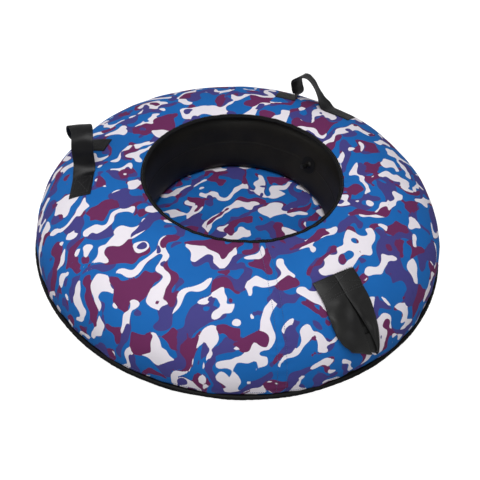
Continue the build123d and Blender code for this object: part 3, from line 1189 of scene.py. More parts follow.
@dataclass(frozen=True)
class TopCover:
    """The camouflage cover with its binding, piping and rows of stitches.

    Attributes:
        section: the cover's section.
        columns, rows_outside, rows_inside: points round the axis and along each face.
        binding_width, binding_thickness: of the tape round the hole's edge.
        play: from the cloth to the tape.
        piping_radius, piping_height, piping_girth: ring of the bead, and its own radius.
        tail_top, tail_thickness: of the tail that the bead is sewn in by.
        flat_size, flat_area: of the cloth laid flat; not used.
    """

    section: CoverSection = field(default_factory=CoverSection)
    columns: int = 600
    rows_outside: int = 130
    rows_inside: int = 22
    binding_width: float = 0.0085
    binding_thickness: float = 0.0013
    play: float = 0.0002
    piping_radius: float = 0.4995
    piping_height: float = 0.0215
    piping_girth: float = 0.0055
    tail_top: float = 0.038
    tail_thickness: float = 0.001
    flat_size: tuple[float, float] = (1.16, 1.16)
    flat_area: float = 0.92

    def cover(self) -> Skin:
        """Closed shell: the outer face from hem to rim and the inner one back."""
        total = self.section.total()
        outer = np.linspace(0, total, self.rows_outside)
        inner = np.linspace(total, 0, self.rows_inside)
        length = np.concatenate([outer, inner])[:, None]
        depth = np.concatenate([outer * 0, inner * 0 - self.section.thickness])[:, None]
        angle = around(self.columns)[None]
        length, angle, depth = np.broadcast_arrays(length, angle, depth)
        points, _ = self.section.at(length, angle, depth)
        cloth = self.section.flat(length, angle)
        values = Print().fields(cloth)
        return Skin(points, rows_closed=True, weave=cloth, values=values)

    def binding_ring(self) -> Array:
        """Closed section of the binding: a hairpin of tape round the cloth's edge.

        Returns:
            Along the cloth from its edge, and up from its outer face, one row a point.
        """
        inside = -self.section.thickness
        hub = np.array([0.0, inside / 2])
        reach = np.linspace(self.binding_width, 0, 8)
        turn = np.linspace(0, math.pi, 9)
        circle = np.stack([np.sin(turn), np.cos(turn)], axis=1)
        legs = {}
        for name, off in (("out", self.play + self.binding_thickness), ("in", self.play)):
            above = np.stack([-reach, reach * 0 + off], axis=1)
            fold = hub + circle * (off - inside / 2)
            below = np.stack([-reach[::-1], reach * 0 + inside - off], axis=1)
            legs[name] = [above, fold[1:-1], below]
        legs["out"][0][0] = (
            -self.binding_width - 0.0003,
            self.play + self.binding_thickness * 0.35,
        )
        return np.vstack(legs["out"] + [leg[::-1] for leg in legs["in"][::-1]])

    def binding(self) -> Skin:
        """Tape folded round the rim, its height and width waving slowly round the hole."""
        total = self.section.total()
        ring = self.binding_ring()
        angle = around(480)
        edge, _ = self.section.at(np.array([total - 1e-4, total]), np.zeros(2), 0.0)
        heading = unit(edge[1] - edge[0])
        beyond = np.maximum(ring[:, 0], 0)
        along = np.minimum(ring[:, 0], 0)
        round_it = np.stack([angle * PATTERN_RADIUS, angle * 0], axis=-1)
        wave = 0.00035 * swell(round_it, 0.05, 31)
        width = 1 + 0.06 * swell(round_it, 0.12, 32)
        length = total + along[:, None] * width[None]
        points, _ = self.section.at(length, angle[None], ring[:, 1][:, None] + wave[None])
        step = turned(heading[0], angle, heading[2])
        points = points + beyond[:, None, None] * step[None]
        return Skin(points, rows_closed=True, weave=woven(ring, angle, self.section.rim))

    def piping(self) -> Skin:
        """Round bead with its sewn tail standing up behind the cover's hem.

        The section is an arc from one side of the tail round to the other, then the
        tail.  Waves round the axis swell and pinch the bead about its own middle.
        """
        girth = self.piping_girth
        tail_out = self.section.crown + self.section.width - self.section.thickness - 0.0003
        tail_in = tail_out - self.tail_thickness
        start = math.asin((tail_in - self.piping_radius) / girth)
        stop = math.asin((tail_out - self.piping_radius) / girth)
        turn = np.linspace(stop, TURN + start, 28)
        hub = np.array([self.piping_radius, self.piping_height])
        bead = hub + np.stack([np.sin(turn), np.cos(turn)], axis=1) * girth
        low = self.piping_height + girth
        rise = low + np.linspace(0.2, 1, 4) * (self.tail_top - low)
        tail = [
            np.stack([rise * 0 + tail_in, rise], axis=1),
            np.stack([rise * 0 + tail_out, rise[::-1]], axis=1),
        ]
        ring = np.vstack([bead, *tail])
        angle = around(720)
        round_it = np.stack([angle * 0.5, angle * 0], axis=-1)
        pinch = 0.00016 * swell(round_it, 0.011, 33, 20) + 0.0003 * swell(round_it, 0.09, 34)
        on_bead = (np.arange(len(ring)) < len(bead))[:, None]
        share = 1 + (pinch / girth)[None] * on_bead
        radial, height = (hub[k] + (ring[:, k] - hub[k])[:, None] * share for k in (0, 1))
        weave = woven(ring, angle, self.piping_radius)
        return Skin(turned(radial, angle, height), rows_closed=True, weave=weave)

    def seam_rows(self) -> list[tuple[Array, Array]]:
        """The two rows of the radial seam, from near the hem to the binding."""
        total = self.section.total()
        length = np.linspace(0.004, total - self.binding_width - 0.001, 260)
        radius = np.linalg.norm(self.section.at(length, length * 0, 0.0)[0][:, :2], axis=1)
        rows = []
        for side in (-1, 1):
            angle = self.section.seam_angle + side * self.section.seam_gap / radius
            rows.append(self.section.at(length, angle, 0.0003))
        return rows

    def ring_row(self, length: float, lift: float, count: int) -> tuple[Array, Array]:
        """A closed row round the cover at one length of its section."""
        angle = np.linspace(0, TURN, count)
        return self.section.at(angle * 0 + length, angle, lift)

    def make(self, finishes: Finishes) -> None:
        """Builds and dresses the cover and what is sewn to it."""
        cover = self.cover().build("cover_top")
        settle(cover, "camouflage_cloth", finishes.camouflage, "top_cover")
        binding = self.binding().build("binding_rim")
        settle(binding, "binding", finishes.binding, "rim_binding")
        piping = self.piping().build("piping_bead")
        settle(piping, "piping_vinyl", finishes.piping, "piping_cover")
        on_binding = self.section.total() - self.binding_width + 0.0028
        rim = self.ring_row(on_binding, self.binding_thickness + 0.0005, 700)
        hem = self.ring_row(0.0058, 0.0003, 1200)
        for label, rows, slot, thread in (
            ("seam", self.seam_rows(), "thread_blue", finishes.thread_blue),
            ("rim", [rim], "thread_black", finishes.thread_black),
            ("hem", [hem], "thread_blue", finishes.thread_blue),
        ):
            sewn = Stitches(length=0.0032, pitch=0.0044).build(f"stitches_{label}", rows)
            settle(sewn, slot, thread, f"{label}_stitching")


@dataclass(frozen=True)
class Underside:
    """The seat floor and the coated bottom cover, two layers of one shape.

    Attributes:
        ring: outer radius of the flat ring that meets the ground.
        curve: width of the curve from there out to the widest line.
        widest: height of the widest line.
        rise: how far the middle is pulled up.
        slope: outer and inner radius of the rise.
        edge: radius of the layers' edge.
        columns: points round the axis.
        seam_allowance: cloth past the edge, when flat.
        print_shift: where the floor's print starts on its cloth.
    """

    ring: float = 0.430
    curve: float = 0.075
    widest: float = 0.040
    rise: float = 0.018
    slope: tuple[float, float] = (0.262, 0.226)
    edge: float = 0.4937
    columns: int = 360
    seam_allowance: float = 0.010
    print_shift: tuple[float, float] = (0.9, 0.4)

    def height(self, radius: Array, lift: float) -> Array:
        """Height of a layer's face: flat, then a smooth rise to the middle, and an
        ellipse outside the flat ring."""
        share = np.clip((radius - self.ring) / (self.curve - lift), 0, 0.999)
        outside = self.widest - (self.widest - lift) * np.sqrt(1 - share**2)
        return outside + self.rise * ramp(radius, *self.slope)

    def layer(self, low: float, thick: float, wrinkle: float, fine: bool) -> Skin:
        """Closed shell of one layer, from the axis along its top and back below.

        Its wrinkles are waves with pulls towards the hole's edge, in the middle only.

        Args:
            low: height of its lower face over the ground at the flat ring.
            thick: its thickness.
            wrinkle: height of its wrinkles in the middle.
            fine: rows close together in the middle, for the print.

        Returns:
            The layer's skin.
        """
        near = np.linspace(0.0015, self.slope[0], 90 if fine else 40)
        far = np.linspace(0.27, self.edge, 34)
        radius = np.concatenate([near, far])
        rows = np.concatenate([radius, radius[::-1]])
        top = np.concatenate([radius > 0, radius < 0])
        height = np.where(top, self.height(rows, low + thick), self.height(rows, low))
        radial, turn = np.broadcast_arrays(rows[:, None], around(self.columns)[None])
        cloth = turned(radial, turn)
        middle = ramp(radial, 0.235, 0.19)
        pulls = np.stack([turn * 0.12, radial * 0.1], axis=-1)
        wave = 0.6 * swell(cloth, 0.17, 41) + 0.4 * swell(cloth, 0.06, 42)
        edge_pulls = ramp(radial, 0.10, 0.21) * swell(pulls, 0.03, 43, 16)
        lift = wrinkle * middle * (1.2 + 0.6 * wave + 0.5 * edge_pulls)
        points = turned(radial, turn, height[:, None] + lift)
        values = Print().fields(cloth + np.array(self.print_shift)) if fine else {}
        return Skin(points, weave=cloth, values=values, capped=True)

    def make(self, finishes: Finishes) -> None:
        """Builds and dresses both layers."""
        floor = self.layer(0.0018, 0.001, 0.0017, True).build("floor_seat")
        settle(floor, "camouflage_cloth", finishes.camouflage, "seat_floor")
        across = 2 * self.edge + 2 * self.seam_allowance
        area = DISC_SHARE * across * across
        bottom = self.layer(0.0, 0.0015, 0.0, False).build("cover_bottom")
        settle(bottom, "coated_cloth", finishes.coated, "bottom_cover")


@dataclass(frozen=True)
class AirTube:
    """The butyl inner tube; only its inner wall shows, in the hole.

    Attributes:
        section: the cover that it fills.
        lift: its outer face over the cover's, which is below 0.
        hole: radius and height of the narrowest place.
        mould: radius and height of the mould line.
        corner: radius and height of the top corner.
        inner_corner: width of the quarter ellipse between hole and ground.
        bottom: height of its lower face.
        ring: radius where the outer quarter ellipse meets the ground.
        crown_angle: where the cover's ellipse ends, past the crown.
        line_height, line_width: of the mould line.
        band: half the width of the finer rows along the mould line.
        columns: points round the axis.
    """

    section: CoverSection = field(default_factory=CoverSection)
    lift: float = -0.0036
    hole: tuple[float, float] = (0.221, 0.045)
    mould: tuple[float, float] = (0.231, 0.105)
    corner: tuple[float, float] = (0.245, 0.165)
    inner_corner: float = 0.069
    bottom: float = 0.0034
    ring: float = 0.430
    crown_angle: float = math.radians(95)
    line_height: float = 0.0007
    line_width: float = 0.0011
    band: float = 0.004
    columns: int = 400

    def ellipse(
        self, hub: tuple[float, float], wide: float, high: float, turn: Array
    ) -> Array:
        """Part of an ellipse about a hub, in radius and height."""
        arc = [hub[0] + wide * np.cos(turn), hub[1] + high * np.sin(turn)]
        return np.stack(arc, axis=1)

    def outline(self) -> tuple[Array, float]:
        """Closed section: the cover's ellipse, a smooth inner wall, two quarter ellipses.

        Returns:
            Radius and height of each point, and the length at the mould line.
        """
        wide = self.section.width + self.lift
        high = self.section.height + self.lift
        crown, widest = self.section.crown, self.section.widest
        angle = np.linspace(0, self.crown_angle, 44)
        outer = self.ellipse((crown, widest), wide, high, angle)
        end = outer[-1]
        low = (self.hole[0] + 0.0006, self.hole[1] - 0.008)
        stations = np.array([outer[-4], end, self.corner, self.mould, self.hole, low])
        wall = smooth_path(stations, 120, 2)
        wall = wall[(wall[:, 0] < end[0] - 1e-4) & (wall[:, 1] > self.hole[1])]
        turn = np.linspace(math.pi, 1.5 * math.pi, 30)
        hub = (self.hole[0] + self.inner_corner, self.hole[1])
        corner_in = self.ellipse(hub, self.inner_corner, hub[1] - self.bottom, turn)
        turn = np.linspace(1.5 * math.pi, TURN, 24)[:-1]
        hub = (self.ring, widest)
        reach = crown + wide - self.ring
        corner_out = self.ellipse(hub, reach, widest - self.bottom, turn)
        whole = np.vstack([outer, wall, corner_in, corner_out])
        nearest = np.argmin(np.abs(wall[:, 1] - self.mould[1])) + len(outer)
        return whole, float(run_length(whole)[nearest])

    def skin(self) -> Skin:
        """The outline turned round the axis, with a thin raised mould line.

        The line is a bell over the length along the outline.  The bare wall in the hole
        has slow waves of its own, and the part under the cover follows the cover's.
        """
        line, mould_length = self.outline()
        length = run_length(line)
        fine = np.linspace(mould_length - self.band, mould_length + self.band, 13)
        kept = length[np.abs(length - mould_length) > self.band + 0.0005]
        even = np.sort(np.concatenate([kept, fine]))
        line = resampled(even, length, line)
        closed = np.vstack([line[-1:], line, line[:1]])
        heading = unit(closed[2:] - closed[:-2])
        out = np.stack([heading[:, 1], -heading[:, 0]], axis=1)
        angle = around(self.columns)
        place = np.broadcast_arrays(even[:, None], angle[None] * PATTERN_RADIUS)
        ridge = self.line_height * bell(even - mould_length, self.line_width)
        bare = ramp(line[:, 0], self.corner[0] + 0.004, self.corner[0] - 0.004)[:, None]
        lift = ridge[:, None] + 0.0005 * bare * swell(np.stack(place, axis=-1), 0.11, 51)
        under = (1 - bare) * (line[:, 1] > self.section.widest)[:, None]
        along = self.section.length_at(line[:, 0])[:, None]
        lift = lift + under * self.section.broad(*np.broadcast_arrays(along, angle[None]))
        radial, height = (line[:, k][:, None] + out[:, k][:, None] * lift for k in (0, 1))
        return Skin(turned(radial, angle, height), rows_closed=True)

    def make(self, finishes: Finishes) -> None:
        """Builds the tube's skin and dresses the nodes that stay as they are."""
        skin = self.skin().build("inner_tube_skin")
        settle(skin, "butyl", finishes.butyl, "inner_tube")
        nodes = frame["nodes"]
        for material, names in (
            (finishes.valve_rubber, ("valve_base",)),
            (finishes.brass, ("valve_stem", "valve_core", "valve_pin")),
            (finishes.seal, ("valve_core_seal", "valve_pin_seal", "valve_cap_seal")),
            (finishes.steel, ("valve_spring",)),
            (finishes.cap, ("valve_cap",)),
            (finishes.cord, ("piping_cord",)),
            (finishes.tape, ("seam_tape", "tow_strap_backing")),
            (finishes.tape, ("handle_left_backing", "handle_right_backing")),
        ):
            for name in names:
                dress(nodes[name], material)


@dataclass(frozen=True)
class GrabHandle:
    """One webbing handle: a single strap whose two ends are sewn to the cover.

    Attributes:
        side: "left" or "right".
        body: what its loop rides on; not used.
        angle: where it sits round the axis.
        stations: along the strap: distance round the tube and from the axis, height over
            the cover, the width direction in those three, and 1 where it is sewn down.
        boxes: stitched boxes, each two corners round the tube and from the axis.
        half_width, thickness: of the webbing.
        level: height that the free part's stations are measured from.
        clear: gap between the cover and the sewn webbing.
        cup: how far the free webbing's edges stand over its middle.
        dents: depth of the webbing's soft dents.
        section: the cover that it is sewn to.
        hinge_reach: radius at which it bends.
        bend: heights where the bend starts and ends.
    """

    side: str
    body: Body
    angle: float
    stations: tuple[tuple[float, ...], ...]
    boxes: tuple[tuple[float, float, float, float], ...]
    half_width: float = 0.025
    thickness: float = 0.0022
    level: float = 0.1877
    clear: float = 0.0004
    cup: float = 0.0012
    dents: float = 0.0005
    section: CoverSection = field(default_factory=CoverSection)
    hinge_reach: float = 0.37
    bend: tuple[float, float] = (0.194, 0.222)

    def axes(self) -> Array:
        """Directions round the tube, out from the axis and up, one a row."""
        c, s = math.cos(self.angle), math.sin(self.angle)
        return np.array([[-s, c, 0.0], [c, s, 0.0], [0.0, 0.0, 1.0]])

    def plan(self, round_it: Array, out: Array) -> Array:
        """Plan place of a distance round the tube and one from the axis."""
        axes = self.axes()
        return round_it[..., None] * axes[0, :2] + out[..., None] * axes[1, :2]

    def strap(self) -> Skin:
        """The strap along its stations, laid on the cover where it is sewn.

        Its free part is cupped by a parabola over its width.  A smooth step over the
        stations' last number mixes the free strap with the one that lies on the cover.
        """
        path = smooth_path(np.array(self.stations), 150)
        plan = self.plan(path[:, 0], path[:, 1])
        foot, _ = self.section.over(plan, 0.0)
        sewn = np.clip(path[:, 6], 0, 1)
        floor = foot[:, 2] * sewn + self.level * (1 - sewn)
        centre = np.column_stack([plan, floor + path[:, 2]])
        across = path[:, 3:6] @ self.axes()
        ribbon = Ribbon(self.thickness)
        share, _, high = ribbon.outline()
        half = np.full(len(path), self.half_width)
        free = 1 - ramp(sewn, 0, 1)
        rise = free[:, None] * self.cup * (share**2)[None]
        skin, base = ribbon.skin(centre, across, half, rise, self.dents, 61)
        laid, out = self.section.over(base, self.thickness / 2 + self.clear)
        top = high[None, :, None] * self.thickness / 2
        facing = np.sign(np.sum((skin.points - base) * out, axis=-1, keepdims=True) * top)
        facing = np.where(facing == 0, 1, facing)
        face_up = np.sign(np.sum(facing, axis=1, keepdims=True) + 0.5)
        weight = ramp(sewn, 0.35, 0.95)[:, None, None]
        skin.points = skin.points * (1 - weight) + (laid + out * top * face_up) * weight
        return skin

    def sewing(self) -> list[tuple[Array, Array]]:
        """Rows of stitches: each box's four sides and its two diagonals."""
        rows = []
        for near, far, low, high in self.boxes:
            corners = np.array([[near, low], [far, low], [far, high], [near, high]])
            for first, second in ((0, 1), (1, 2), (2, 3), (3, 0), (0, 2), (1, 3)):
                line = straight(corners[first], corners[second], 24)
                plan = self.plan(line[:, 0], line[:, 1])
                rows.append(self.section.over(plan, self.thickness + 0.0006))
        return rows

    def make(self, finishes: Finishes) -> None:
        """Builds and dresses the strap and its stitches."""
        strap = self.strap().build(f"webbing_{self.side}")
        names = (f"handle_{self.side}_ends", f"handle_{self.side}_loop")
        settle(strap, "webbing", finishes.webbing, *names, body=None)
        c, s = (self.hinge_reach * turn(self.angle) for turn in (math.cos, math.sin))
        start, end = ((c, s, height) for height in self.bend)
        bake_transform(strap)
        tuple(start)
        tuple(end)
        stitches = Stitches().build(f"stitches_handle_{self.side}", self.sewing())
        node = f"handle_{self.side}_stitching"
        settle(stitches, "thread_black", finishes.thread_black, node)


@dataclass(frozen=True)
class TowStrap:
    """A flat sleeve of vinyl sewn down at its root, its long edges meeting on top.

    Past the stitching they draw apart, and the right one tapers to a point.

    Attributes:
        stitched: radius of the outermost row of stitches.
        thickness: of one layer.
        arch: height of a panel's arch for each metre of its width.
        samples: along each layer.
        rising: samples of a panel before it turns down at its end.
        middle: how far the strap's middle line is from the Y axis.
        box: radii of the stitched box's two ends.
        half_box: half its width.
        section: the cover that it is sewn to.
        left, right: the two top panels; a row holds two opposite points of their edges.
        lower: the lower layer, a row for two opposite points: their plan places, and 1
            where they lie on the cover.
        lower_end: heights of the two points in the last rows of the lower layer.
    """

    stitched: float = 0.409
    thickness: float = 0.0022
    arch: float = 0.045
    samples: int = 120
    rising: int = 75
    middle: float = -0.008
    box: tuple[float, float] = (0.368, 0.400)
    half_box: float = 0.047
    section: CoverSection = field(default_factory=CoverSection)
    left: tuple[tuple[float, ...], ...] = (
        (0.3660, -0.058, 0.1920, 0.3690, -0.0082, 0.1935),
        (0.3860, -0.058, 0.1860, 0.3860, -0.0088, 0.1888),
        (0.4090, -0.058, 0.1750, 0.4070, -0.0092, 0.1800),
        (0.4360, -0.061, 0.1590, 0.4300, -0.0075, 0.1690),
        (0.4600, -0.060, 0.1400, 0.4550, -0.0035, 0.1510),
        (0.4740, -0.055, 0.1250, 0.4790, -0.0010, 0.1260),
        (0.4815, -0.049, 0.1160, 0.4925, 0.0035, 0.1035),
        (0.4855, -0.043, 0.1110, 0.4985, 0.0090, 0.0840),
        (0.4865, -0.040, 0.1080, 0.5000, 0.0165, 0.0710),
        (0.4845, -0.039, 0.1045, 0.4980, 0.0190, 0.0650),
    )
    right: tuple[tuple[float, ...], ...] = (
        (0.3690, -0.0078, 0.1935, 0.3700, 0.0410, 0.1915),
        (0.3860, -0.0080, 0.1888, 0.3880, 0.0405, 0.1860),
        (0.4070, -0.0080, 0.1800, 0.4080, 0.0390, 0.1775),
        (0.4300, -0.0050, 0.1690, 0.4320, 0.0400, 0.1640),
        (0.4550, 0.0015, 0.1510, 0.4570, 0.0385, 0.1430),
        (0.4780, 0.0110, 0.1260, 0.4760, 0.0370, 0.1220),
        (0.4930, 0.0210, 0.0980, 0.4900, 0.0355, 0.0980),
        (0.4985, 0.0275, 0.0780, 0.4975, 0.0345, 0.0790),
        (0.5000, 0.0295, 0.0660, 0.5000, 0.0340, 0.0640),
        (0.4985, 0.0300, 0.0595, 0.4985, 0.0335, 0.0590),
    )
    lower: tuple[tuple[float, ...], ...] = (
        (0.3640, -0.055, 1.0, 0.3660, 0.038, 1.0),
        (0.3860, -0.055, 1.0, 0.3860, 0.038, 1.0),
        (0.4090, -0.055, 1.0, 0.4080, 0.037, 1.0),
        (0.4350, -0.057, 0.9, 0.4330, 0.037, 0.9),
        (0.4560, -0.056, 0.6, 0.4560, 0.036, 0.7),
        (0.4720, -0.051, 0.0, 0.4770, 0.035, 0.2),
        (0.4800, -0.044, 0.0, 0.4915, 0.033, 0.0),
        (0.4830, -0.039, 0.0, 0.4965, 0.032, 0.0),
        (0.4835, -0.036, 0.0, 0.4970, 0.031, 0.0),
    )
    lower_end: tuple[tuple[float, float], ...] = (
        (0.1245, 0.1170),
        (0.1135, 0.0850),
        (0.1060, 0.0660),
        (0.1025, 0.0600),
    )

    def panel(self, edges: Array, seed: int) -> Skin:
        """One top layer between its two edges, arched by a parabola and dented softly.

        Args:
            edges: opposite points of its edges, one row a station.
            seed: picks the dents, which grow past the stitches.

        Returns:
            The layer's skin.
        """
        path = smooth_path(edges, self.samples, 6)
        one, other = path[:, :3], path[:, 3:6]
        wide = np.linalg.norm(other - one, axis=1)
        ribbon = Ribbon(self.thickness, across=20)
        share = ribbon.outline()[0]
        inside = (1 - share**2)[None]
        free = ramp(one[:, 0], self.stitched, self.stitched + 0.025)[:, None]
        strip = np.stack(np.broadcast_arrays(path[:, :1], share[None] * 0.02), axis=-1)
        rise = self.arch * wide[:, None] * inside
        rise = rise + 0.0016 * np.sqrt(inside) * free * swell(strip, 0.034, seed)
        return ribbon.skin((one + other) / 2, other - one, wide / 2, rise, slanted=True)[0]

    def under(self) -> Skin:
        """The lower layer: on the cover up to its side, then out to the end fold.

        Points lie on straight lines between its two edges, mixed with the cover under
        them by the share that lies on it.
        """
        plan = np.array(self.lower)
        ends = np.array(self.lower_end)
        columns = []
        for k, at in enumerate((plan[:, :2], plan[:, 3:5])):
            foot, _ = self.section.over(at, 0.0020)
            height = np.concatenate([foot[: -len(ends), 2], ends[:, k]])
            columns.append(np.column_stack([at, height, plan[:, 3 * k + 2]]))
        path = smooth_path(np.hstack(columns), self.samples, 8)
        one, other = path[:, None, :4], path[:, None, 4:]
        share, over, high = Ribbon(self.thickness, across=24).outline()
        part = (share[None, :, None] + 1) / 2
        base = one * (1 - part) + other * part
        half = self.thickness * 0.3
        foot, out = self.section.over(base[..., :2], half + 0.0004)
        lying = np.clip(base[..., 3:], 0, 1)
        side = unit(other[..., :3] - one[..., :3])
        points = foot * lying + base[..., :3] * (1 - lying) + side * over[None, :, None] * half
        return Skin(points + out * high[None, :, None] * half, capped=True)

    def strap(self) -> bpy.types.Object:
        """The three layers as one piece."""
        layers = [self.under()]
        for edges, seed in ((self.left, 71), (self.right, 72)):
            layers.append(self.panel(np.array(edges), seed))
        made = [layer.build(f"layer_{k}") for k, layer in enumerate(layers)]
        bpy.ops.object.select_all(action="DESELECT")
        for piece in made:
            piece.select_set(True)
        bpy.context.view_layer.objects.active = made[0]
        bpy.ops.object.join()
        made[0].name = made[0].data.name = "strap_tow"
        return made[0]

    def sewing(self) -> list[tuple[Array, Array]]:
        """A stitched box with its diagonals, and a double row where the loop starts."""
        left, right = (
            smooth_path(np.array(edges), self.samples, 6) for edges in (self.left, self.right)
        )
        low, high = (side * self.half_box + self.middle for side in (-1, 1))
        near, far = self.box
        corners = np.array([[near, low], [near, high], [far, high], [far, low]])
        pairs = [(corners[a], corners[b]) for a, b in ((0, 1), (1, 2), (3, 0), (0, 2), (1, 3))]
        for radius in (self.stitched - 0.0045, self.stitched):
            pairs.append((np.array([radius, low]), np.array([radius, high])))
        return [self.on_panels(straight(*pair, 40), left, right) for pair in pairs]

    def on_panels(self, plan: Array, left: Array, right: Array) -> tuple[Array, Array]:
        """Places on the top panels' upper face over plan places.

        Args:
            plan: places x, y.
            left: the left panel's two edges, one row a sample.
            right: the same of the right one.

        Returns:
            Places and outward directions.
        """
        heights = []
        for edges in (left, right):
            one, other = (
                resampled(plan[:, 0], edge[:, 0], edge[:, 1:])
                for edge in (edges[: self.rising, :3], edges[: self.rising, 3:])
            )
            wide = other[:, 0] - one[:, 0]
            share = np.clip((plan[:, 1] - one[:, 0]) / wide, 0, 1)
            chord = one[:, 1] * (1 - share) + other[:, 1] * share
            heights.append(chord + self.arch * wide * (1 - (2 * share - 1) ** 2))
        slit = np.interp(plan[:, 0], left[: self.rising, 3], left[: self.rising, 4])
        height = np.where(plan[:, 1] < slit, *heights)
        _, out = self.section.over(plan, 0.0)
        return np.column_stack([plan, height]) + out * (self.thickness / 2 + 0.0007), out

    def make(self, finishes: Finishes) -> None:
        """Builds and dresses the strap and its stitches."""
        strap = self.strap()
        names = ("tow_strap_base", "tow_strap_loop")
        settle(strap, "strap_vinyl", finishes.strap, *names, body=None)
        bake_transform(strap)
        stitches = Stitches(length=0.004, pitch=0.0056).build("stitches_tow", self.sewing())
        settle(stitches, "thread_black", finishes.thread_black, "tow_strap_stitching")


@dataclass(frozen=True)
class Studio:
    """Plain pale floor, soft light and the camera.

    Attributes:
        camera_place, target, roll, lens: of the camera; the lens is in millimetres.
        lamps: name, place, side length and power of each square lamp.
        sky: strength of the even light from all round.
        bowl: radius and height of the floor's rings; its middle is closed by one face.
        sides: points round the floor.
    """

    camera_place: tuple[float, float, float] = (0.9107, -0.5914, 1.0568)
    target: tuple[float, float, float] = (0.0025, 0.0038, -0.0429)
    roll: float = math.radians(3.98)
    lens: float = 43.65
    lamps: tuple[tuple[str, tuple[float, float, float], float, float], ...] = (
        ("key", (0.55, -0.6, 2.5), 1.9, 41.0),
        ("side", (-0.9, -2.0, 1.4), 1.4, 8.0),
        ("front", (2.2, -0.6, 0.9), 1.2, 5.0),
    )
    sky: float = 0.30
    bowl: tuple[tuple[float, float], ...] = (
        (0.01, -0.0004),
        (12.0, -0.0004),
        (14.0, 0.7996),
        (15.0, 11.9996),
    )
    sides: int = 96

    def camera(self) -> None:
        """A camera that looks at the target, rolled about its own axis."""
        data = bpy.data.cameras.new("camera")
        data.lens = self.lens
        data.sensor_width = 36.0
        data.clip_start, data.clip_end = 0.05, 50.0
        camera = bpy.data.objects.new("camera", data)
        bpy.context.scene.collection.objects.link(camera)
        ahead = (Vector(self.target) - Vector(self.camera_place)).normalized()
        level = ahead.cross(Vector((0, 0, 1))).normalized()
        above = level.cross(ahead)
        right = level * math.cos(self.roll) + above * math.sin(self.roll)
        up = above * math.cos(self.roll) - level * math.sin(self.roll)
        turn = Matrix((right, up, -ahead)).transposed().to_4x4()
        camera.matrix_world = Matrix.Translation(Vector(self.camera_place)) @ turn
        bpy.context.scene.camera = camera

    def light(
        self, name: str, place: tuple[float, float, float], size: float, power: float
    ) -> None:
        """A square area light aimed at the tube's middle."""
        data = bpy.data.lights.new(name, "AREA")
        data.size, data.energy = size, power
        lamp = bpy.data.objects.new(name, data)
        bpy.context.scene.collection.objects.link(lamp)
        aim = Vector((0.0, 0.0, 0.1)) - Vector(place)
        lamp.rotation_euler = aim.to_track_quat("-Z", "Y").to_euler()
        lamp.location = place

    def floor(self) -> None:
        """A pale floor that curves up far off into a wall, like a wide bowl.

        It glows, so that it looks even, and it casts no shadow and throws no light on
        the tube, in which it is not mirrored either.
        """
        graph = Graph("studio_floor")
        glow = {"Color": (1, 1, 1), "Strength": 0.93}
        white = graph.node("ShaderNodeEmission", {}, glow)
        matt = graph.node("ShaderNodeBsdfDiffuse", {}, {"Color": (0.35, 0.35, 0.35)})
        both = graph.node("ShaderNodeAddShader", {}, {0: white.outputs[0], 1: matt.outputs[0]})
        graph.tree.links.new(both.outputs[0], graph.output.inputs["Surface"])
        radius, height = (np.array(self.bowl)[:, k : k + 1] for k in (0, 1))
        skin = Skin(turned(radius, around(self.sides), height))
        faces = skin.faces()[0].tolist() + [list(range(self.sides))]
        piece = new_piece("studio_floor", skin.points.reshape(-1, 3), faces, smooth=False)
        piece.data.materials.append(graph.material)
        piece.visible_diffuse = False
        piece.visible_glossy = False
        piece.visible_shadow = False

    def make(self) -> None:
        """Sets the whole studio up."""
        scene = bpy.context.scene
        scene.view_settings.view_transform = "Standard"
        scene.view_settings.look = "None"
        world = bpy.data.worlds.new("studio")
        world.use_nodes = True
        background = world.node_tree.nodes["Background"]
        background.inputs["Color"].default_value = (1, 1, 1, 1)
        background.inputs["Strength"].default_value = self.sky
        scene.world = world
        for lamp in self.lamps:
            self.light(*lamp)
        self.floor()
        self.camera()


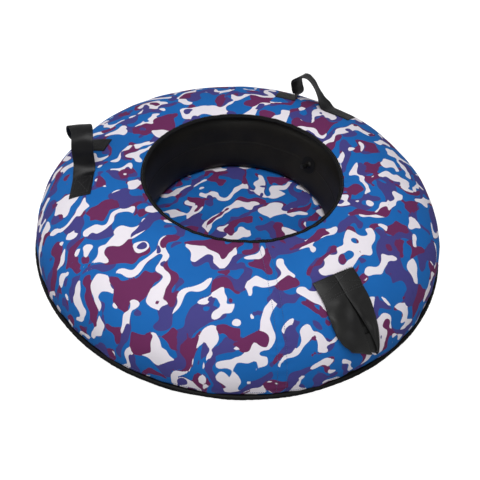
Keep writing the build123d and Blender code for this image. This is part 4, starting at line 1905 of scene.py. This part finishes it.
# Stations of the two handles' straps, as GrabHandle gives their columns.
LEFT_STATIONS = (
    (-0.068, 0.329, 0.0015, 1, 0, 0, 1),
    (-0.073, 0.350, 0.0015, 1, 0, 0, 1),
    (-0.079, 0.372, 0.0030, 1, 0, 0, 1),
    (-0.083, 0.392, 0.0130, 1, 0.05, 0, 0.3),
    (-0.080, 0.402, 0.0350, 0.85, 0.5, 0, 0),
    (-0.066, 0.396, 0.0620, 0.35, 0.95, 0, 0),
    (-0.044, 0.382, 0.0800, 0.05, 1, -0.1, 0),
    (-0.020, 0.372, 0.0840, 0, 1, -0.2, 0),
    (0.004, 0.368, 0.0760, 0, 1, -0.1, 0),
    (0.015, 0.368, 0.0550, 0, 1, 0, 0),
    (0.018, 0.368, 0.0320, 0, 1, 0, 0),
    (0.023, 0.367, 0.0160, 0, 1, 0, 0.1),
    (0.035, 0.367, 0.0060, 0, 1, 0, 0.5),
    (0.054, 0.366, 0.0018, 0, 1, 0, 1),
    (0.080, 0.365, 0.0015, 0, 1, 0, 1),
    (0.108, 0.364, 0.0015, -0.25, 1, 0, 1),
)
RIGHT_STATIONS = (
    (0.098, 0.346, 0.0015, 0, 1, 0, 1),
    (0.070, 0.353, 0.0015, 0, 1, 0, 1),
    (0.050, 0.360, 0.0040, 0, 1, 0, 0.9),
    (0.043, 0.366, 0.0160, -0.1, 0.98, 0, 0.2),
    (0.050, 0.369, 0.0340, -0.2, 0.96, -0.1, 0),
    (0.054, 0.370, 0.0520, -0.15, 0.95, -0.2, 0),
    (0.044, 0.370, 0.0660, 0.1, 0.92, -0.25, 0),
    (0.026, 0.370, 0.0700, 0.25, 0.92, -0.25, 0),
    (0.004, 0.370, 0.0560, 0.25, 0.92, -0.25, 0),
    (-0.014, 0.370, 0.0330, 0.2, 0.94, -0.2, 0),
    (-0.028, 0.369, 0.0150, 0.1, 0.98, -0.1, 0.1),
    (-0.044, 0.368, 0.0058, 0, 1, 0, 0.5),
    (-0.066, 0.367, 0.0018, 0, 1, 0, 1),
    (-0.092, 0.367, 0.0015, 0, 1, 0, 1),
    (-0.120, 0.366, 0.0015, 0, 1, 0, 1),
)


def main() -> None:
    """Builds the tube piece by piece, then the studio round it."""
    logging.basicConfig(level=logging.INFO, format="%(message)s")
    finishes = Finishes()
    AirTube().make(finishes)
    TopCover().make(finishes)
    Underside().make(finishes)
    GrabHandle(
        "left",
        Body.HANDLE_LEFT,
        math.radians(239),
        LEFT_STATIONS,
        ((-0.091, -0.055, 0.335, 0.371), (0.049, 0.100, 0.346, 0.383)),
    ).make(finishes)
    GrabHandle(
        "right",
        Body.HANDLE_RIGHT,
        math.radians(118),
        RIGHT_STATIONS,
        ((0.063, 0.093, 0.334, 0.366), (-0.116, -0.057, 0.347, 0.387)),
    ).make(finishes)
    TowStrap().make(finishes)
    Studio().make()


if __name__ == "__main__":
    main()
